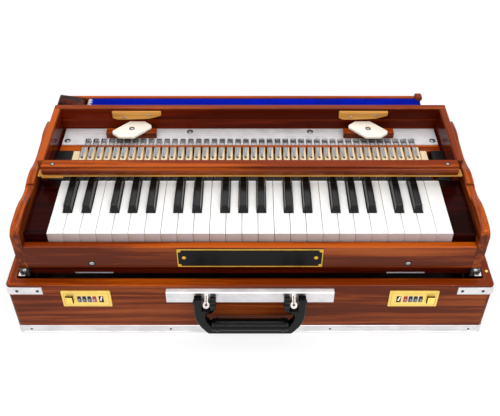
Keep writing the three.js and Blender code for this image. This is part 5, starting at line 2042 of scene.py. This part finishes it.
def build_lights():
    """Soft lamps above, before and beside the object."""
    for name, place, size, power in (
        ("overhead", (0, 0.35, 1.7), (1.5, 1.5), 14),
        ("left_front", (-0.66, -0.95, 1.45), (0.6, 0.1), 3.5),
        ("right_front", (0.66, -0.95, 1.45), (0.6, 0.1), 5.5),
        ("front", (0.1, -1.7, 0.9), (1.4, 0.6), 8), ("behind", (0, 2.0, 1.5), (1.2, 1.2), 3),
    ):
        lamp = bpy.data.lights.new(name, "AREA")
        lamp.shape = "RECTANGLE"
        lamp.size, lamp.size_y = size
        lamp.energy = power
        obj = link(bpy.data.objects.new(name, lamp))
        obj.location = place
        obj.rotation_euler = (Vector((0, 0, 0.1)) - Vector(place)).to_track_quat("-Z", "Y").to_euler()


def build_world(scene):
    """White behind the object, and a softer light from all round."""
    world = bpy.data.worlds.new("studio")
    world.use_nodes = True
    sheet = Sheet(world.node_tree)
    sheet.tree.nodes.clear()
    light = sheet.node("ShaderNodeBackground", None, {"Color": (1, 1, 1, 1), "Strength": 0.42})
    shown = sheet.node("ShaderNodeBackground", None, {"Color": (1, 1, 1, 1), "Strength": 1.0})
    mixed = sheet.node("ShaderNodeMixShader", None, {0: sheet.seen(), 1: light, 2: shown})
    sheet.node("ShaderNodeOutputWorld", None, {"Surface": mixed})
    scene.world = world


def build_camera(scene):
    """The camera where the photograph was taken from."""
    focal_pixels = 740
    picture_width = 500
    before_case, height = 0.631, 0.8135
    down = 42.7
    data = bpy.data.cameras.new("camera")
    data.sensor_width = 36
    data.lens = focal_pixels / picture_width * data.sensor_width
    camera = link(bpy.data.objects.new("camera", data))
    camera.location = (0, TRAY.front - before_case, height)
    camera.rotation_euler = (math.radians(90 - down), 0, 0)
    scene.camera = camera


class HARMONIUM_OT_stage(bpy.types.Operator):
    """Set the floor, the lights and the camera"""

    bl_idname = "harmonium.stage"
    bl_label = "Stage"

    def execute(self, context):
        build_floor()
        build_lights()
        build_camera(context.scene)
        build_world(context.scene)
        context.scene.view_settings.view_transform = "Standard"
        return {"FINISHED"}


OPERATORS = (
    HARMONIUM_OT_stage,
    HARMONIUM_OT_case,
    HARMONIUM_OT_locks,
    HARMONIUM_OT_handle,
    HARMONIUM_OT_lift,
    HARMONIUM_OT_carcass,
    HARMONIUM_OT_cheeks,
    HARMONIUM_OT_chamber,
    HARMONIUM_OT_reed_board,
    HARMONIUM_OT_keys,
    HARMONIUM_OT_springs,
    HARMONIUM_OT_turn_buttons,
    HARMONIUM_OT_bellows,
)


class HARMONIUM_PT_panel(bpy.types.Panel):
    """Lists the harmonium's pieces and sizes"""

    bl_label = "Harmonium"
    bl_idname = "HARMONIUM_PT_panel"
    bl_space_type = "VIEW_3D"
    bl_region_type = "UI"
    bl_category = "Harmonium"

    def draw(self, context):
        for operator in OPERATORS:
            self.layout.operator(operator.bl_idname)
        for name, group in SETTINGS.items():
            box = self.layout.box()
            for key in group.__annotations__:
                box.prop(getattr(context.scene, name), key)


def register():
    for group in SETTINGS.values():
        bpy.utils.register_class(group)
    for name, group in SETTINGS.items():
        setattr(bpy.types.Scene, name, bpy.props.PointerProperty(type=group))
    for operator in OPERATORS:
        bpy.utils.register_class(operator)
    bpy.utils.register_class(HARMONIUM_PT_panel)


def unregister():
    bpy.utils.unregister_class(HARMONIUM_PT_panel)
    for operator in reversed(OPERATORS):
        bpy.utils.unregister_class(operator)
    for name, group in reversed(SETTINGS.items()):
        delattr(bpy.types.Scene, name)
        bpy.utils.unregister_class(group)


def main():
    register()
    make_finishes(bpy.context.scene.harmonium_colours)
    for operator in OPERATORS:
        group, name = operator.bl_idname.split(".")
        getattr(getattr(bpy.ops, group), name)()


if __name__ == "__main__":
    main()
